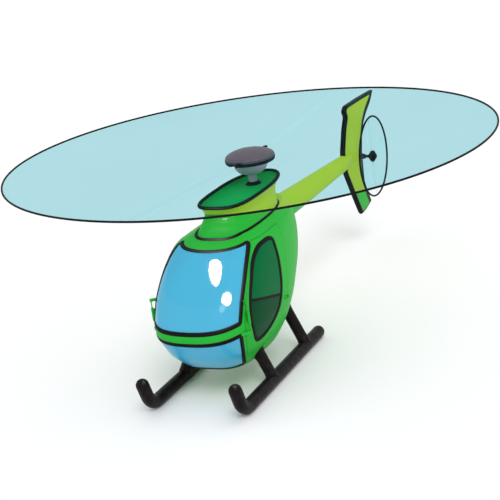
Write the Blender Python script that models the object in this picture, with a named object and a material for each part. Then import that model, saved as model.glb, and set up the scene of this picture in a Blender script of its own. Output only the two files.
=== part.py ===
"""Light two-seat helicopter, parked on its skids.

Metres, +Z up, nose towards -Y, the pilot's left side towards +X.
All lengths along Y are given from the rotor mast, and the mast stands at MAST_Y.
"""
import math

import bmesh
import bpy
import numpy as np

# Placing and clearances
MAST_Y = -0.82
SHARP = 35.0
GAP = 0.0003
SEAM = 0.0004
PANEL_SEAM = 0.0015
DOOR_SEAM = 0.006
WALL = 0.030
PANE_OUT = 0.004
PANE_IN = 0.012

# Cabin hull: height, nose, widest station, tail, half width
HULL = np.array([
    [0.28, -1.54, -1.05, -0.74, 0.245],
    [0.36, -1.95, -1.08, -0.54, 0.43],
    [0.50, -2.20, -1.10, -0.33, 0.545],
    [0.75, -2.43, -1.12, -0.05, 0.67],
    [1.05, -2.55, -1.12, 0.24, 0.735],
    [1.35, -2.42, -1.10, 0.52, 0.745],
    [1.60, -2.19, -1.05, 0.64, 0.73],
    [1.80, -1.93, -1.00, 0.68, 0.69],
    [1.95, -1.67, -0.90, 0.66, 0.63],
    [2.05, -1.36, -0.80, 0.60, 0.45],
])
NOSE_POWER = 3.5
TAIL_POWER = 2.0
KEEL_Z = 0.28
ROOF_Z = 2.05
CHIN_LOW = 0.44
SILL_Z = 0.60
EAVE_Z = 1.99
EAVE_DIP = 0.05
BAND_LOW = 0.945
BAND_HEIGHT = 0.16
BAND_RISE = 0.05
FLOOR_LOW = 0.475
FLOOR_TOP = 0.50
PAN_FRONT_ROWS = (0.28, 0.31, 0.35, 0.39, 0.41, CHIN_LOW)
PAN_SIDE_ROWS = (0.28, 0.31, 0.37, FLOOR_LOW, FLOOR_TOP, SILL_Z)
PAN_STEP = 0.03
FLOOR_FRONT = -1.80
BULKHEAD_Y = -0.50
BULKHEAD_THICK = 0.03
BULKHEAD_FREE = 0.006
BULKHEAD_TOP_FREE = 0.005
ROW_STEP = 0.085
ROW_FREE = 0.02
LOW_ROWS = (0.31, 0.34, 0.37, 0.40, 0.44, FLOOR_LOW, FLOOR_TOP, 0.55, SILL_Z)
ROOF_SHARES = (0.0, 0.35, 0.7, 1.0)
ANGLE_STEP = 6.0
CUTTER_ANGLE = 2.0
CUTTER_ROW = 0.03
CUTTER_GROW = 0.0006

# Seams around the hull, in degrees from the nose
SCREEN_EDGE = 47.3
DOOR_FRONT = 50.5
DOOR_REAR = 98.5

# Door window: degrees from the nose and height, clockwise from its low front tip
WINDOW = [
    (60.0, 0.775), (57.0, 1.00), (54.6, 1.32), (53.6, 1.60), (53.9, 1.80), (58.5, 1.905),
    (68.0, 1.930), (80.0, 1.920), (88.0, 1.850), (90.3, 1.60), (90.3, 1.20), (84.0, 0.945), (72.0, 0.790),
]
WINDOW_CENTRE = (73.0, 1.36)
WINDOW_SPAN = (18.0, 0.60)
WINDOW_FIT = 0.999
WINDOW_STEPS = 12
PANE_RINGS = (0.35, 0.70, 1.0)

# Door hinges: a pin held by two lugs on the pillar, and a sleeve with an arm on the door
HINGE_X = 0.71
HINGE_Y = -2.12
HINGE_LUGS = (1.00, 1.40)
HINGE_SIDES = 16
LUG_THICK = 0.034
LUG_HALF = 0.018
LUG_SUNK = 0.06
LUG_ANGLE = (SCREEN_EDGE + DOOR_FRONT) / 2
PIN_R = 0.008
PIN_FREE = 0.0005
SLEEVE_R = 0.018
SLEEVE = (1.11, 1.29)
ARM_ANGLE = 53.2
ARM_HALF = 0.014
ARM_SUNK = 0.02
ARM_INSET = 0.02
BORE_PAST = 0.01

# Door handle, from the inner low front corner to the outer high rear one
HANDLE_LOW = (0.715, -1.045, 1.02)
HANDLE_HIGH = (0.775, -0.915, 1.05)

# Rotor cowl: height, front, widest station, rear, half width
COWL = np.array([
    [2.0503, -1.35, -0.60, 0.36, 0.390],
    [2.12, -1.30, -0.56, 0.36, 0.378],
    [2.20, -1.23, -0.50, 0.38, 0.352],
    [2.26, -1.20, -0.46, 0.42, 0.338],
    [2.33, -1.23, -0.42, 0.47, 0.350],
    [2.42, -1.31, -0.38, 0.55, 0.382],
])
COWL_FRONT_POWER = 3.5
COWL_REAR_POWER = 2.2
COWL_SIDES = 40
COWL_WALL = 0.020
DECK_LOW = 2.355
DECK_TOP = 2.370
GEARBOX_TOP = 2.300
GEARBOX_HALF = 0.15
GEARBOX_FRONT = -0.20
GEARBOX_REAR = 0.18

# Main rotor: the see-through disc is what the turning blades sweep
ROTOR_R = 3.5
ROTOR_RISE = 0.0543
DISC_Z = 2.76
DISC_THICK = 0.005
DISC_SIDES = 72
RIM_TUBE = 0.014
RIM_ANGLES = np.radians((150, 90, 30, -30, -90, -150))
MAST_R = 0.065
MAST_FREE = 0.008
HUB_SIDES = 32
BOWL_LOW = 2.52
BOWL_TOP = 2.70
BOWL = [(0.150, 0.02), (0.205, 0.06), (0.240, 0.12), (0.250, 0.18)]   # radius, height over its bottom
CAP_R = 0.36
CAP_TOP = 2.80
CAP_LOW_R = 0.330
CAP_EDGE = 0.022
CAP_CROWN = [(0.36, -0.012), (0.345, 0.0), (0.30, 0.032), (0.22, 0.062),
             (0.12, 0.083), (0.04, 0.090)]   # radius, height over CAP_TOP

# Blades: a square root that widens to a flat oval section
BLADE_SIDES = 12
BLADE_DROP = 0.026
BLADE_TIP = 3.43
BLADE_CHORD = 0.19
BLADE_THICK = 0.020
BLADE_ROOT_HALF = 0.030
BLADE_ROOT_THICK = 0.036
ROOT_LENGTH = 0.16
WIDEN_LENGTH = 0.42
TIP_LENGTH = 0.10
TIP_SHARE = 0.9
ROOT_POWER = 4.0
BLADE_POWER = 2.4

# Tail boom: station, centre height, half width, half height
BOOM_SIDES = 24
BOOM = [
    (0.40, 1.768, 0.245, 0.198),
    (0.80, 1.757, 0.222, 0.191),
    (1.20, 1.744, 0.200, 0.186),
    (1.60, 1.731, 0.183, 0.178),
    (2.20, 1.714, 0.163, 0.164),
    (2.80, 1.699, 0.142, 0.148),
    (3.40, 1.682, 0.114, 0.133),
    (3.60, 1.677, 0.082, 0.115),
    (3.75, 1.672, 0.059, 0.088),
]

# Fin outline, station and height, from the low tip forwards and round
FIN = [
    (3.97, 0.62), (3.84, 0.83), (3.70, 1.07), (3.46, 1.50), (3.44, 1.86), (3.62, 2.22), (3.76, 2.40),
    (3.70, 2.50), (3.80, 2.575), (4.40, 2.57), (5.14, 2.545), (4.95, 2.38), (4.70, 2.25), (4.60, 2.18),
    (4.50, 2.10), (4.37, 1.90), (4.28, 1.63), (4.265, 1.40), (4.25, 1.15), (4.36, 0.91), (4.48, 0.71),
    (4.22, 0.64),
]
FIN_HALF = 0.045
FIN_EDGE = 0.020

# Tail rotor, on the left of the fin
TAIL_Y = 4.20
TAIL_Z = 1.59
TAIL_R = 0.70
TAIL_HUB_X = 0.25
TAIL_HUB_R = 0.075
TAIL_DISC_X = 0.270
TAIL_DISC_THICK = 0.004
TAIL_DISC_SIDES = 40
TAIL_BOX_X = 0.120
TAIL_BOX_R = 0.050
TAIL_BOX_EDGE = 0.015
TAIL_SHAFT_R = 0.028
TAIL_SIDES = 24
TAIL_COLLAR = 0.024
TAIL_COLLAR_WALL = 0.020
TAIL_RIM_TUBE = 0.016
TAIL_BALL_ANGLES = np.radians(np.arange(18, 163, 18))
TAIL_BLADE_START = 0.008
TAIL_BLADE_FREE = 0.05
TAIL_BLADE_SHIFT = -0.006
TAIL_BLADE_CHORD = 0.085
TAIL_BLADE_THICK = 0.010
TAIL_ROOT_HALF = 0.014
TAIL_ROOT_THICK = 0.018

# Skids
SKID_X = 0.68
SKID_R = 0.090
SKID_REAR = 0.04
SKID_BEND_Y = -2.43
SKID_BEND_R = 0.25
SKID_BEND = math.radians(70)
SKID_BEND_STEPS = 6
SKID_TIP = 0.20
SKID_SIDES = 16
SKID_CAP_ANGLES = np.radians((30, 55, 78))
LEG_SEAT_RUN = (0.0, -2.3)
LEG_R = 0.080
LEG_STATIONS = (("front", -1.62), ("rear", -0.45))
LEG_LEAN = 0.42
LEG_FOOT = 0.015
LEG_TOP = 0.72

# Seats and controls
SEAT_HALF = 0.44
SEAT_TOP = 0.72
SEAT_FRONT = -1.30
SEAT_REAR = -0.79
BACK_TOP = 1.45
BACK_LEAN = 0.13
BACK_THICK = 0.04
BACK_FOOT = 0.05
CUSHION = 0.10
BACK_CUSHION = 0.08
BACK_FREE = 0.0007
CUSHION_MIDDLE = 0.012
CUSHION_SIDE = 0.004
CUSHION_ROUND = 0.02
BACK_START = SEAT_TOP + CUSHION + 0.012
BACK_END = BACK_TOP - 0.01
CONSOLE = [(-1.78, FLOOR_TOP + GAP), (-1.58, FLOOR_TOP + GAP), (-1.58, 0.90), (-1.62, 1.20),
           (-1.80, 1.24), (-1.88, 1.20), (-1.86, 0.96)]   # station and height
CONSOLE_HALF = 0.15
CONSOLE_ROUND = 0.015
STICK_Y = -1.44
STICK_SIDES = 16
STICK = [(0.034, GAP), (0.030, 0.03), (0.013, 0.05), (0.013, 0.43)]   # radius, height over the floor
BAR_Z = 0.925
BAR = [(0.011, -0.27), (0.016, -0.26), (0.016, -0.15), (0.011, -0.14),
       (0.011, 0.14), (0.016, 0.15), (0.016, 0.26), (0.011, 0.27)]   # radius, place along the bar
ENGINE_HALF = 0.25
ENGINE_LENGTH = 0.42
ENGINE_LOW = 1.02
ENGINE_TOP = 1.50


def clear_scene():
    """Empties the scene that Blender starts with."""
    for item in list(bpy.data.objects):
        bpy.data.objects.remove(item, do_unlink=True)


def paint(name, colour, roughness, metallic=0.0, alpha=1.0):
    """Material of one colour."""
    material = bpy.data.materials.new(name)
    material.use_nodes = True
    shader = material.node_tree.nodes["Principled BSDF"]
    shader.inputs["Base Color"].default_value = (*colour, 1.0)
    shader.inputs["Roughness"].default_value = roughness
    shader.inputs["Metallic"].default_value = metallic
    shader.inputs["Alpha"].default_value = alpha
    material.diffuse_color = (*colour, alpha)
    return material


def empty(name, place, parent=None):
    """Axis or datum that pieces hang on."""
    item = bpy.data.objects.new(name, None)
    item.location = place
    item.parent = parent
    bpy.context.scene.collection.objects.link(item)
    return item


def solid(name, points, faces, material, parent):
    """Mesh object from points in the mast frame, hung on an empty."""
    mesh = bpy.data.meshes.new(name)
    points = np.asarray(points, dtype=float) - offset_of(parent)
    mesh.from_pydata([tuple(p) for p in points], [], [tuple(int(i) for i in f) for f in faces])
    work = bmesh.new()
    work.from_mesh(mesh)
    bmesh.ops.recalc_face_normals(work, faces=work.faces)
    work.to_mesh(mesh)
    work.free()
    mesh.shade_smooth()
    mesh.set_sharp_from_angle(angle=math.radians(SHARP))
    mesh.materials.append(material)
    item = bpy.data.objects.new(name, mesh)
    item.parent = parent
    bpy.context.scene.collection.objects.link(item)
    return item


def offset_of(parent):
    """Place of an empty in the mast frame."""
    if parent.parent is None:
        return np.zeros(3)
    return np.array(parent.location) + offset_of(parent.parent)


def cutter(item):
    """Marks a body that only shapes others."""
    item.hide_render = True
    item.display_type = "WIRE"
    return item


def combine(item, other, operation):
    """Cuts a body with another, or joins it on."""
    step = item.modifiers.new(operation.lower(), "BOOLEAN")
    step.operation = operation
    step.solver = "EXACT"
    step.object = other


def pchip(x, xs, ys):
    """Smooth monotone curve through stations."""
    h = np.diff(xs)
    d = np.diff(ys) / h
    m = np.zeros(len(xs))
    m[0], m[-1] = d[0], d[-1]
    for i in range(1, len(xs) - 1):
        if d[i - 1] * d[i] > 0:
            before = (2 * h[i] + h[i - 1]) / d[i - 1]
            after = (h[i] + 2 * h[i - 1]) / d[i]
            m[i] = 3 * (h[i - 1] + h[i]) / (before + after)
    k = np.clip(np.searchsorted(xs, x) - 1, 0, len(xs) - 2)
    t = (x - xs[k]) / h[k]
    low = (2 * t**3 - 3 * t**2 + 1) * ys[k] + (t**3 - 2 * t**2 + t) * h[k] * m[k]
    high = (-2 * t**3 + 3 * t**2) * ys[k + 1] + (t**3 - t**2) * h[k] * m[k + 1]
    return low + high


def skin(angle, z, inset=0.0):
    """Point of the hull at an angle from the nose and a height, drawn in level by inset."""
    angle, z = np.broadcast_arrays(np.asarray(angle, float), np.asarray(z, float))
    nose, wide, tail, half = [pchip(z, HULL[:, 0], HULL[:, i]) for i in (1, 2, 3, 4)]
    a = np.radians(angle)
    sine, cosine = np.sin(a), np.cos(a)
    power = np.where(cosine > 0, NOSE_POWER, TAIL_POWER)
    rho = (np.abs(sine) ** power + np.abs(cosine) ** power) ** (1 / power)
    reach = np.where(cosine > 0, wide - nose, tail - wide) - inset
    return np.stack([(half - inset) * sine / rho, wide - reach * cosine / rho, z], axis=-1)


def nudge(angle, z, distance):
    """Angle moved along the hull by a distance, at each height."""
    step = 0.05
    angle = np.broadcast_to(np.asarray(angle, float), np.shape(z))
    speed = np.linalg.norm(skin(angle + step, z) - skin(angle - step, z), axis=-1) / (2 * step)
    return angle + distance / speed


def rows(low, high):
    """Heights of the hull's facet rows between two seams."""
    grid = np.concatenate([LOW_ROWS, np.arange(SILL_Z + ROW_STEP, EAVE_Z, ROW_STEP)])
    inner = grid[(grid > low + ROW_FREE) & (grid < high - ROW_FREE)]
    return np.concatenate([[low], inner, [high]])


def columns(start, end):
    """Angles of the hull's facet columns between two seams."""
    grid = np.arange(-180.0, 360.0, ANGLE_STEP)
    inner = grid[(grid > start + ANGLE_STEP / 3) & (grid < end - ANGLE_STEP / 3)]
    return np.concatenate([[start], inner, [end]])


def sheet_faces(count_u, count_v, first, flip=False):
    """Quads of a grid of points stored row by row."""
    faces = []
    for u in range(count_u - 1):
        for v in range(count_v - 1):
            a = first + u * count_v + v
            quad = (a, a + 1, a + count_v + 1, a + count_v)
            faces.append(quad[::-1] if flip else quad)
    return faces


def thick_patch(name, outer, inner, material, parent):
    """Closed panel between two matching grids of points."""
    nu, nv = outer.shape[:2]
    size = nu * nv
    faces = sheet_faces(nu, nv, 0) + sheet_faces(nu, nv, size, flip=True)
    ring = list(range(nv))
    ring += [u * nv + nv - 1 for u in range(1, nu)]
    ring += [(nu - 1) * nv + v for v in range(nv - 2, -1, -1)]
    ring += [u * nv for u in range(nu - 2, 0, -1)]
    for a, b in zip(ring, ring[1:] + ring[:1]):
        faces.append((a, b, b + size, a + size))
    points = np.concatenate([outer.reshape(-1, 3), inner.reshape(-1, 3)])
    return solid(name, points, faces, material, parent)


def hull_panel(name, start, end, low, high, material, parent, outer=0.0, inner=WALL):
    """Curved hull panel between two angles and two seam heights, each a number or a function."""
    low_of = low if callable(low) else (lambda a: np.full(np.shape(a), low))
    high_of = high if callable(high) else (lambda a: np.full(np.shape(a), high))
    angles = columns(start, end)
    low_z, high_z = float(np.min(low_of(angles))), float(np.max(high_of(angles)))
    levels = rows(low_z, high_z)
    share = (levels - low_z) / (high_z - low_z)
    z = low_of(angles)[None, :] + share[:, None] * (high_of(angles) - low_of(angles))[None, :]
    grid = np.repeat(angles[None, :], len(levels), axis=0)
    grid[:, 0] = nudge(grid[:, 0], z[:, 0], PANEL_SEAM / 2)
    grid[:, -1] = nudge(grid[:, -1], z[:, -1], -PANEL_SEAM / 2)
    return thick_patch(name, skin(grid, z, outer), skin(grid, z, inner), material, parent)


def stack(name, rings, material, parent):
    """Closed body through rings of points, with both ends capped."""
    count = len(rings[0])
    faces = []
    for k in range(len(rings) - 1):
        for i in range(count):
            j = (i + 1) % count
            faces.append((k * count + i, k * count + j, (k + 1) * count + j, (k + 1) * count + i))
    faces.append(tuple(range(count))[::-1])
    faces.append(tuple((len(rings) - 1) * count + i for i in range(count)))
    return solid(name, np.concatenate(rings), faces, material, parent)


def pipe_wall(name, rings, material, parent):
    """Closed body through a loop of rings, such as a hollow wall."""
    count = len(rings[0])
    total = len(rings)
    faces = []
    for k in range(total):
        for i in range(count):
            j = (i + 1) % count
            n = (k + 1) % total
            faces.append((k * count + i, k * count + j, n * count + j, n * count + i))
    return solid(name, np.concatenate(rings), faces, material, parent)


def circle(count, radius, flat=False):
    """Points of a circle as x, y pairs; flat puts the middle of a facet on each axis, at the radius."""
    turn = math.pi / count if flat else 0.0
    size = radius / math.cos(math.pi / count) if flat else radius
    t = np.arange(count) * 2 * math.pi / count + turn
    return size * np.cos(t), size * np.sin(t)


def turned(name, profile, centre, axis, material, parent, count, flat=False, hollow=False):
    """Body turned from radius and height pairs, about an axis Z or X through a centre."""
    rings = []
    for radius, height in profile:
        a, b = circle(count, max(radius, 1e-4), flat)
        level = np.full(count, height)
        ring = np.stack([a, b, level], 1) if axis == "Z" else np.stack([level, a, b], 1)
        rings.append(ring + np.asarray(centre))
    maker = pipe_wall if hollow else stack
    return maker(name, rings, material, parent)


def block(name, low, high, material, parent):
    """Box between two opposite corners."""
    x, y, z = zip(low, high)
    points = [(x[i], y[j], z[k]) for i in (0, 1) for j in (0, 1) for k in (0, 1)]
    faces = [(0, 1, 3, 2), (4, 6, 7, 5), (0, 4, 5, 1), (2, 3, 7, 6), (0, 2, 6, 4), (1, 5, 7, 3)]
    return solid(name, points, faces, material, parent)


def extruded(name, outline, low, high, axis, material, parent, bevel=0.0):
    """Prism of an outline, along X from an outline in y, z, or along Z from one in x, y."""
    rings = []
    for level in (low, high):
        column = np.full((len(outline), 1), level)
        flat = np.asarray(outline, float)
        rings.append(np.hstack([column, flat]) if axis == "X" else np.hstack([flat, column]))
    item = stack(name, rings, material, parent)
    if bevel:
        rounding = item.modifiers.new("rounding", "BEVEL")
        rounding.width = bevel
        rounding.segments = 2
    return item


def smooth_loop(points, steps):
    """Closed curve through points, as Catmull-Rom pieces."""
    p = np.asarray(points, float)
    curve = []
    for i in range(len(p)):
        a, b, c, d = p[i - 1], p[i], p[(i + 1) % len(p)], p[(i + 2) % len(p)]
        for k in range(steps):
            t = k / steps
            curve.append(0.5 * (2 * b + (c - a) * t + (2 * a - 5 * b + 4 * c - d) * t**2
                                + (3 * b - a - 3 * c + d) * t**3))
    return np.array(curve)


def hull_ring(levels, inset, angles):
    """Rings round the hull, one for each height."""
    return [skin(angles, np.full(len(angles), z), inset) for z in levels]


def build_hull(datum, looks):
    """Shell panels of the cabin, its glass and its inner plates."""
    def band_low(a):
        return BAND_LOW + BAND_RISE * (np.abs(a) / SCREEN_EDGE) ** 2

    def band_high(a):
        return band_low(a) + BAND_HEIGHT

    def eave(a):
        return EAVE_Z - EAVE_DIP * (1 - np.minimum(np.abs(a) / SCREEN_EDGE, 1.0) ** 2)

    edge = SCREEN_EDGE
    hull_panel("chin_window", -edge, edge, CHIN_LOW + GAP, lambda a: band_low(a) - GAP,
               looks["glass"], datum, PANE_OUT, PANE_IN)
    hull_panel("nose_band", -edge, edge, band_low, band_high, looks["green"], datum)
    hull_panel("windshield", -edge, edge, lambda a: band_high(a) + GAP, lambda a: eave(a) - GAP,
               looks["glass"], datum, PANE_OUT, PANE_IN)
    for side, word in ((1, "left"), (-1, "right")):
        a0, a1 = sorted((side * edge, side * (DOOR_FRONT)))
        hull_panel(f"front_pillar_{word}", a0, a1, SILL_Z + GAP, EAVE_Z - GAP, looks["green"], datum)
        a0, a1 = sorted((side * DOOR_REAR, side * 180.0))
        hull_panel(f"rear_side_{word}", a0, a1, SILL_Z + GAP, EAVE_Z - GAP, looks["green"], datum)

    # Belly pan, lower under the chin window than at the sides
    around = np.concatenate([columns(-edge, edge), columns(edge + PAN_STEP, 360 - edge - PAN_STEP)])
    front = np.abs((around + 180) % 360 - 180) <= edge + PAN_STEP / 2
    outer = [skin(around, np.where(front, a, b)) for a, b in zip(PAN_FRONT_ROWS, PAN_SIDE_ROWS)]
    inner = [skin(around, np.where(front, a, b), WALL)
             for a, b in zip(PAN_FRONT_ROWS[:0:-1], PAN_SIDE_ROWS[:0:-1])]
    stack("belly_pan", outer + inner, looks["green"], datum)

    # Roof panel with its flat top, and a lower edge that dips to the nose
    around = np.concatenate([columns(-180.0, -edge), columns(-edge, edge)[1:-1], columns(edge, 180.0)[:-1]])
    seam = eave(around)
    outer = [skin(around, seam + share * (ROOF_Z - seam)) for share in ROOF_SHARES]
    inner = [skin(around, seam, WALL), skin(around, np.full(len(around), ROOF_Z - WALL), WALL)]
    stack("roof_panel", outer[::-1] + inner, looks["green"], datum)

    # Cabin floor
    around = columns(-180.0, 180.0 - ANGLE_STEP)

    def plate_ring(z):
        ring = skin(around, z, WALL + SEAM)
        ring[:, 1] = np.maximum(ring[:, 1], FLOOR_FRONT)
        return ring
    stack("cabin_floor", [plate_ring(FLOOR_LOW), plate_ring(FLOOR_TOP)], looks["metal"], datum)

    # Bulkhead between cabin and engine
    def half_width(y, z):
        wide, tail, half = [pchip(np.array(z), HULL[:, 0], HULL[:, i]) for i in (2, 3, 4)]
        share = (y - wide) / (tail - wide - WALL)
        return (half - WALL) * (1 - share**TAIL_POWER) ** (1 / TAIL_POWER) - BULKHEAD_FREE
    rings = []
    for z in rows(FLOOR_TOP + GAP, EAVE_Z - BULKHEAD_TOP_FREE):
        rear = BULKHEAD_Y + BULKHEAD_THICK
        h = half_width(rear, z)
        rings.append(np.array([(-h, BULKHEAD_Y, z), (h, BULKHEAD_Y, z), (h, rear, z), (-h, rear, z)]))
    stack("rear_bulkhead", rings, looks["metal"], datum)


def hull_cutter(datum, looks):
    """Fine solid of the whole hull, which trims what stands on its skin."""
    around = np.arange(-180.0, 180.0, CUTTER_ANGLE)
    count = int((ROOF_Z - KEEL_Z) / CUTTER_ROW)
    rings = hull_ring(np.linspace(KEEL_Z, ROOF_Z, count), -CUTTER_GROW, around)
    return cutter(stack("hull_shape", rings, looks["metal"], datum))


def window_points():
    """Direction and reach of each point of the door window's border, from its centre in window units."""
    curve = smooth_loop(WINDOW, WINDOW_STEPS)
    u = (curve[:, 0] - WINDOW_CENTRE[0]) / WINDOW_SPAN[0]
    v = (curve[:, 1] - WINDOW_CENTRE[1]) / WINDOW_SPAN[1]
    return np.arctan2(v, u), np.hypot(u, v)


def window_at(turn):
    """Window border in the direction of each turn."""
    angle, radius = window_points()
    order = np.argsort(angle)
    reach = np.interp(turn, angle[order], radius[order], period=2 * math.pi)
    return reach * np.cos(turn), reach * np.sin(turn)


def door_turns():
    """Outline of the door in window units, and the direction of each of its points."""
    low, high = SILL_Z + DOOR_SEAM, EAVE_Z - DOOR_SEAM
    zs = rows(low, high)
    angles = columns(DOOR_FRONT, DOOR_REAR)
    border = [(DOOR_FRONT, z) for z in zs[:-1]]
    border += [(a, high) for a in angles[:-1]]
    border += [(DOOR_REAR, z) for z in zs[:0:-1]]
    border += [(a, low) for a in angles[:0:-1]]
    angle, z = np.array(border).T
    seam = np.where(angle == DOOR_FRONT, DOOR_SEAM, np.where(angle == DOOR_REAR, -DOOR_SEAM, 0.0))
    angle = nudge(angle, z, seam)
    return (angle - WINDOW_CENTRE[0]) / WINDOW_SPAN[0], (z - WINDOW_CENTRE[1]) / WINDOW_SPAN[1]


def door_place(u, v, side, inset):
    """Point of one door's skin, or of a surface inset from it, in window units."""
    point = skin(WINDOW_CENTRE[0] + u * WINDOW_SPAN[0], WINDOW_CENTRE[1] + v * WINDOW_SPAN[1], inset)
    return point * np.array([side, 1.0, 1.0])


def build_door(word, side, datum, looks, hull):
    """Door with its window, handle and hinge, on an empty at the hinge pin."""
    axis = empty(f"door_{word}_axis", (side * HINGE_X, HINGE_Y, SLEEVE[0]), datum)
    u, v = door_turns()
    hole_u, hole_v = window_at(np.arctan2(v, u))
    rings = []
    for inset, shares in ((0.0, (0.0, 0.5, 1.0)), (WALL, (1.0, 0.5, 0.0))):
        for share in shares:
            rings.append(door_place(u + share * (hole_u - u), v + share * (hole_v - v), side, inset))
    pipe_wall(f"door_{word}", rings, looks["green"], axis)

    # Window pane, in rings from its border to its middle
    fit_u, fit_v = hole_u * WINDOW_FIT, hole_v * WINDOW_FIT
    rings = [door_place(s * fit_u, s * fit_v, side, PANE_OUT) for s in PANE_RINGS]
    rings += [door_place(s * fit_u, s * fit_v, side, PANE_IN) for s in PANE_RINGS[::-1]]
    stack(f"door_window_{word}", rings, looks["dark_glass"], axis)

    # Handle
    mirror = np.array([side, 1.0, 1.0])
    handle = block(f"door_handle_{word}", mirror * HANDLE_LOW, mirror * HANDLE_HIGH, looks["black"], axis)
    combine(handle, hull, "DIFFERENCE")

    def upright(name, radius, low, high, parent):
        """Bar on the line of the hinge."""
        return turned(name, [(radius, low), (radius, high)], (side * HINGE_X, HINGE_Y, 0), "Z",
                      looks["black"], parent, HINGE_SIDES)

    def plate(name, angle, half, sunk, low, high, parent):
        """Plate from the hull's skin out to the hinge, trimmed to the skin."""
        pad = skin(angle, (low + high) / 2)[:2]
        outline = lug_outline(pad, np.array([HINGE_X, HINGE_Y]), half, sunk) * mirror[:2]
        piece = extruded(name, outline, low, high, "Z", looks["black"], parent)
        combine(piece, hull, "DIFFERENCE")
        return cutter(piece)

    # Fixed hinge: two lugs on the pillar and the pin between them
    pin = upright(f"door_hinge_{word}", PIN_R, *HINGE_LUGS, datum)
    for number, z in enumerate(HINGE_LUGS):
        lug = plate(f"hinge_lug_{word}_{number}", LUG_ANGLE, LUG_HALF, LUG_SUNK,
                    z - LUG_THICK / 2, z + LUG_THICK / 2, datum)
        combine(pin, lug, "UNION")

    # Moving hinge: a sleeve round the pin and its arm on the door
    low, high = SLEEVE
    sleeve = upright(f"door_knuckle_{word}", SLEEVE_R, low, high, axis)
    arm = plate(f"hinge_arm_{word}", ARM_ANGLE, ARM_HALF, ARM_SUNK, low + ARM_INSET, high - ARM_INSET, axis)
    combine(sleeve, arm, "UNION")
    bore = upright(f"hinge_bore_{word}", PIN_R + PIN_FREE, low - BORE_PAST, high + BORE_PAST, axis)
    combine(sleeve, cutter(bore), "DIFFERENCE")


def lug_outline(pad, pin, half, depth):
    """Plate from a pad sunk into the hull to a round end about the pin."""
    line = (pin - pad) / np.linalg.norm(pin - pad)
    across = np.array([-line[1], line[0]])
    base = pad - line * depth
    end = [pin + SLEEVE_R * (math.cos(t) * across + math.sin(t) * line)
           for t in np.linspace(0, math.pi, 9)]
    return np.array([base - half * across, *end[::-1], base + half * across])


def build_cowl(datum, looks):
    """Rotor cowl on the roof, its deck and the gearbox inside."""
    t = np.arange(COWL_SIDES) * 2 * math.pi / COWL_SIDES

    def ring(z, inset):
        front, wide, rear, half = [pchip(np.array(z), COWL[:, 0], COWL[:, i]) for i in (1, 2, 3, 4)]
        ahead = np.cos(t) > 0
        power = np.where(ahead, COWL_FRONT_POWER, COWL_REAR_POWER)
        rho = (np.abs(np.sin(t)) ** power + np.abs(np.cos(t)) ** power) ** (1 / power)
        x = (half - inset) * np.sin(t) / rho
        y = wide - (np.where(ahead, wide - front, rear - wide) - inset) * np.cos(t) / rho
        return np.stack([x, y, np.full(COWL_SIDES, z)], 1)

    heights = sorted([*COWL[:, 0], DECK_LOW, DECK_TOP])
    rings = [ring(z, 0.0) for z in heights] + [ring(z, COWL_WALL) for z in heights[::-1]]
    pipe_wall("rotor_cowl", rings, looks["lime"], datum)

    hole_r = MAST_R + MAST_FREE
    hole = [np.stack([hole_r * np.sin(t), -hole_r * np.cos(t), np.full(COWL_SIDES, z)], 1)
            for z in (DECK_TOP, DECK_LOW)]
    edge = [ring(z, COWL_WALL + SEAM) for z in (DECK_LOW, DECK_TOP)]
    pipe_wall("cowl_deck", edge + hole, looks["deck"], datum)
    block("main_gearbox", (-GEARBOX_HALF, GEARBOX_FRONT, ROOF_Z + GAP),
          (GEARBOX_HALF, GEARBOX_REAR, GEARBOX_TOP), looks["metal"], datum)


def disc_profile(start, radius, level, rise, thick, tube):
    """Thin coned disc with a round bead at its edge, as radius and height pairs."""
    half = thick / 2
    centre = radius - tube
    edge = [(centre + tube * math.cos(t), level + rise * centre + tube * math.sin(t)) for t in RIM_ANGLES]
    top = [(start, level + rise * start + half)]
    return top + edge + [(start, level + rise * start - half)]


def blade_rings(start, tip, chord, thick, root_half, root_thick, rise, drop):
    """Sections of a blade along +X: a square root, then a flat oval."""
    t = (np.arange(BLADE_SIDES) + 0.5) * 2 * math.pi / BLADE_SIDES
    rings = []
    for r, share in ((start, 0.0), (start + ROOT_LENGTH, 0.0), (start + WIDEN_LENGTH, 1.0),
                     (tip - TIP_LENGTH, 1.0), (tip, TIP_SHARE)):
        half = root_half + share * (chord / 2 - root_half)
        tall = (root_thick + share * (thick - root_thick)) / 2
        power = ROOT_POWER + (BLADE_POWER - ROOT_POWER) * share
        rho = (np.abs(np.cos(t)) ** power + np.abs(np.sin(t)) ** power) ** (1 / power)
        rings.append(np.stack([np.full(BLADE_SIDES, r), half * np.cos(t) / rho,
                               drop + rise * r + tall * np.sin(t) / rho], 1))
    return rings


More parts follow.
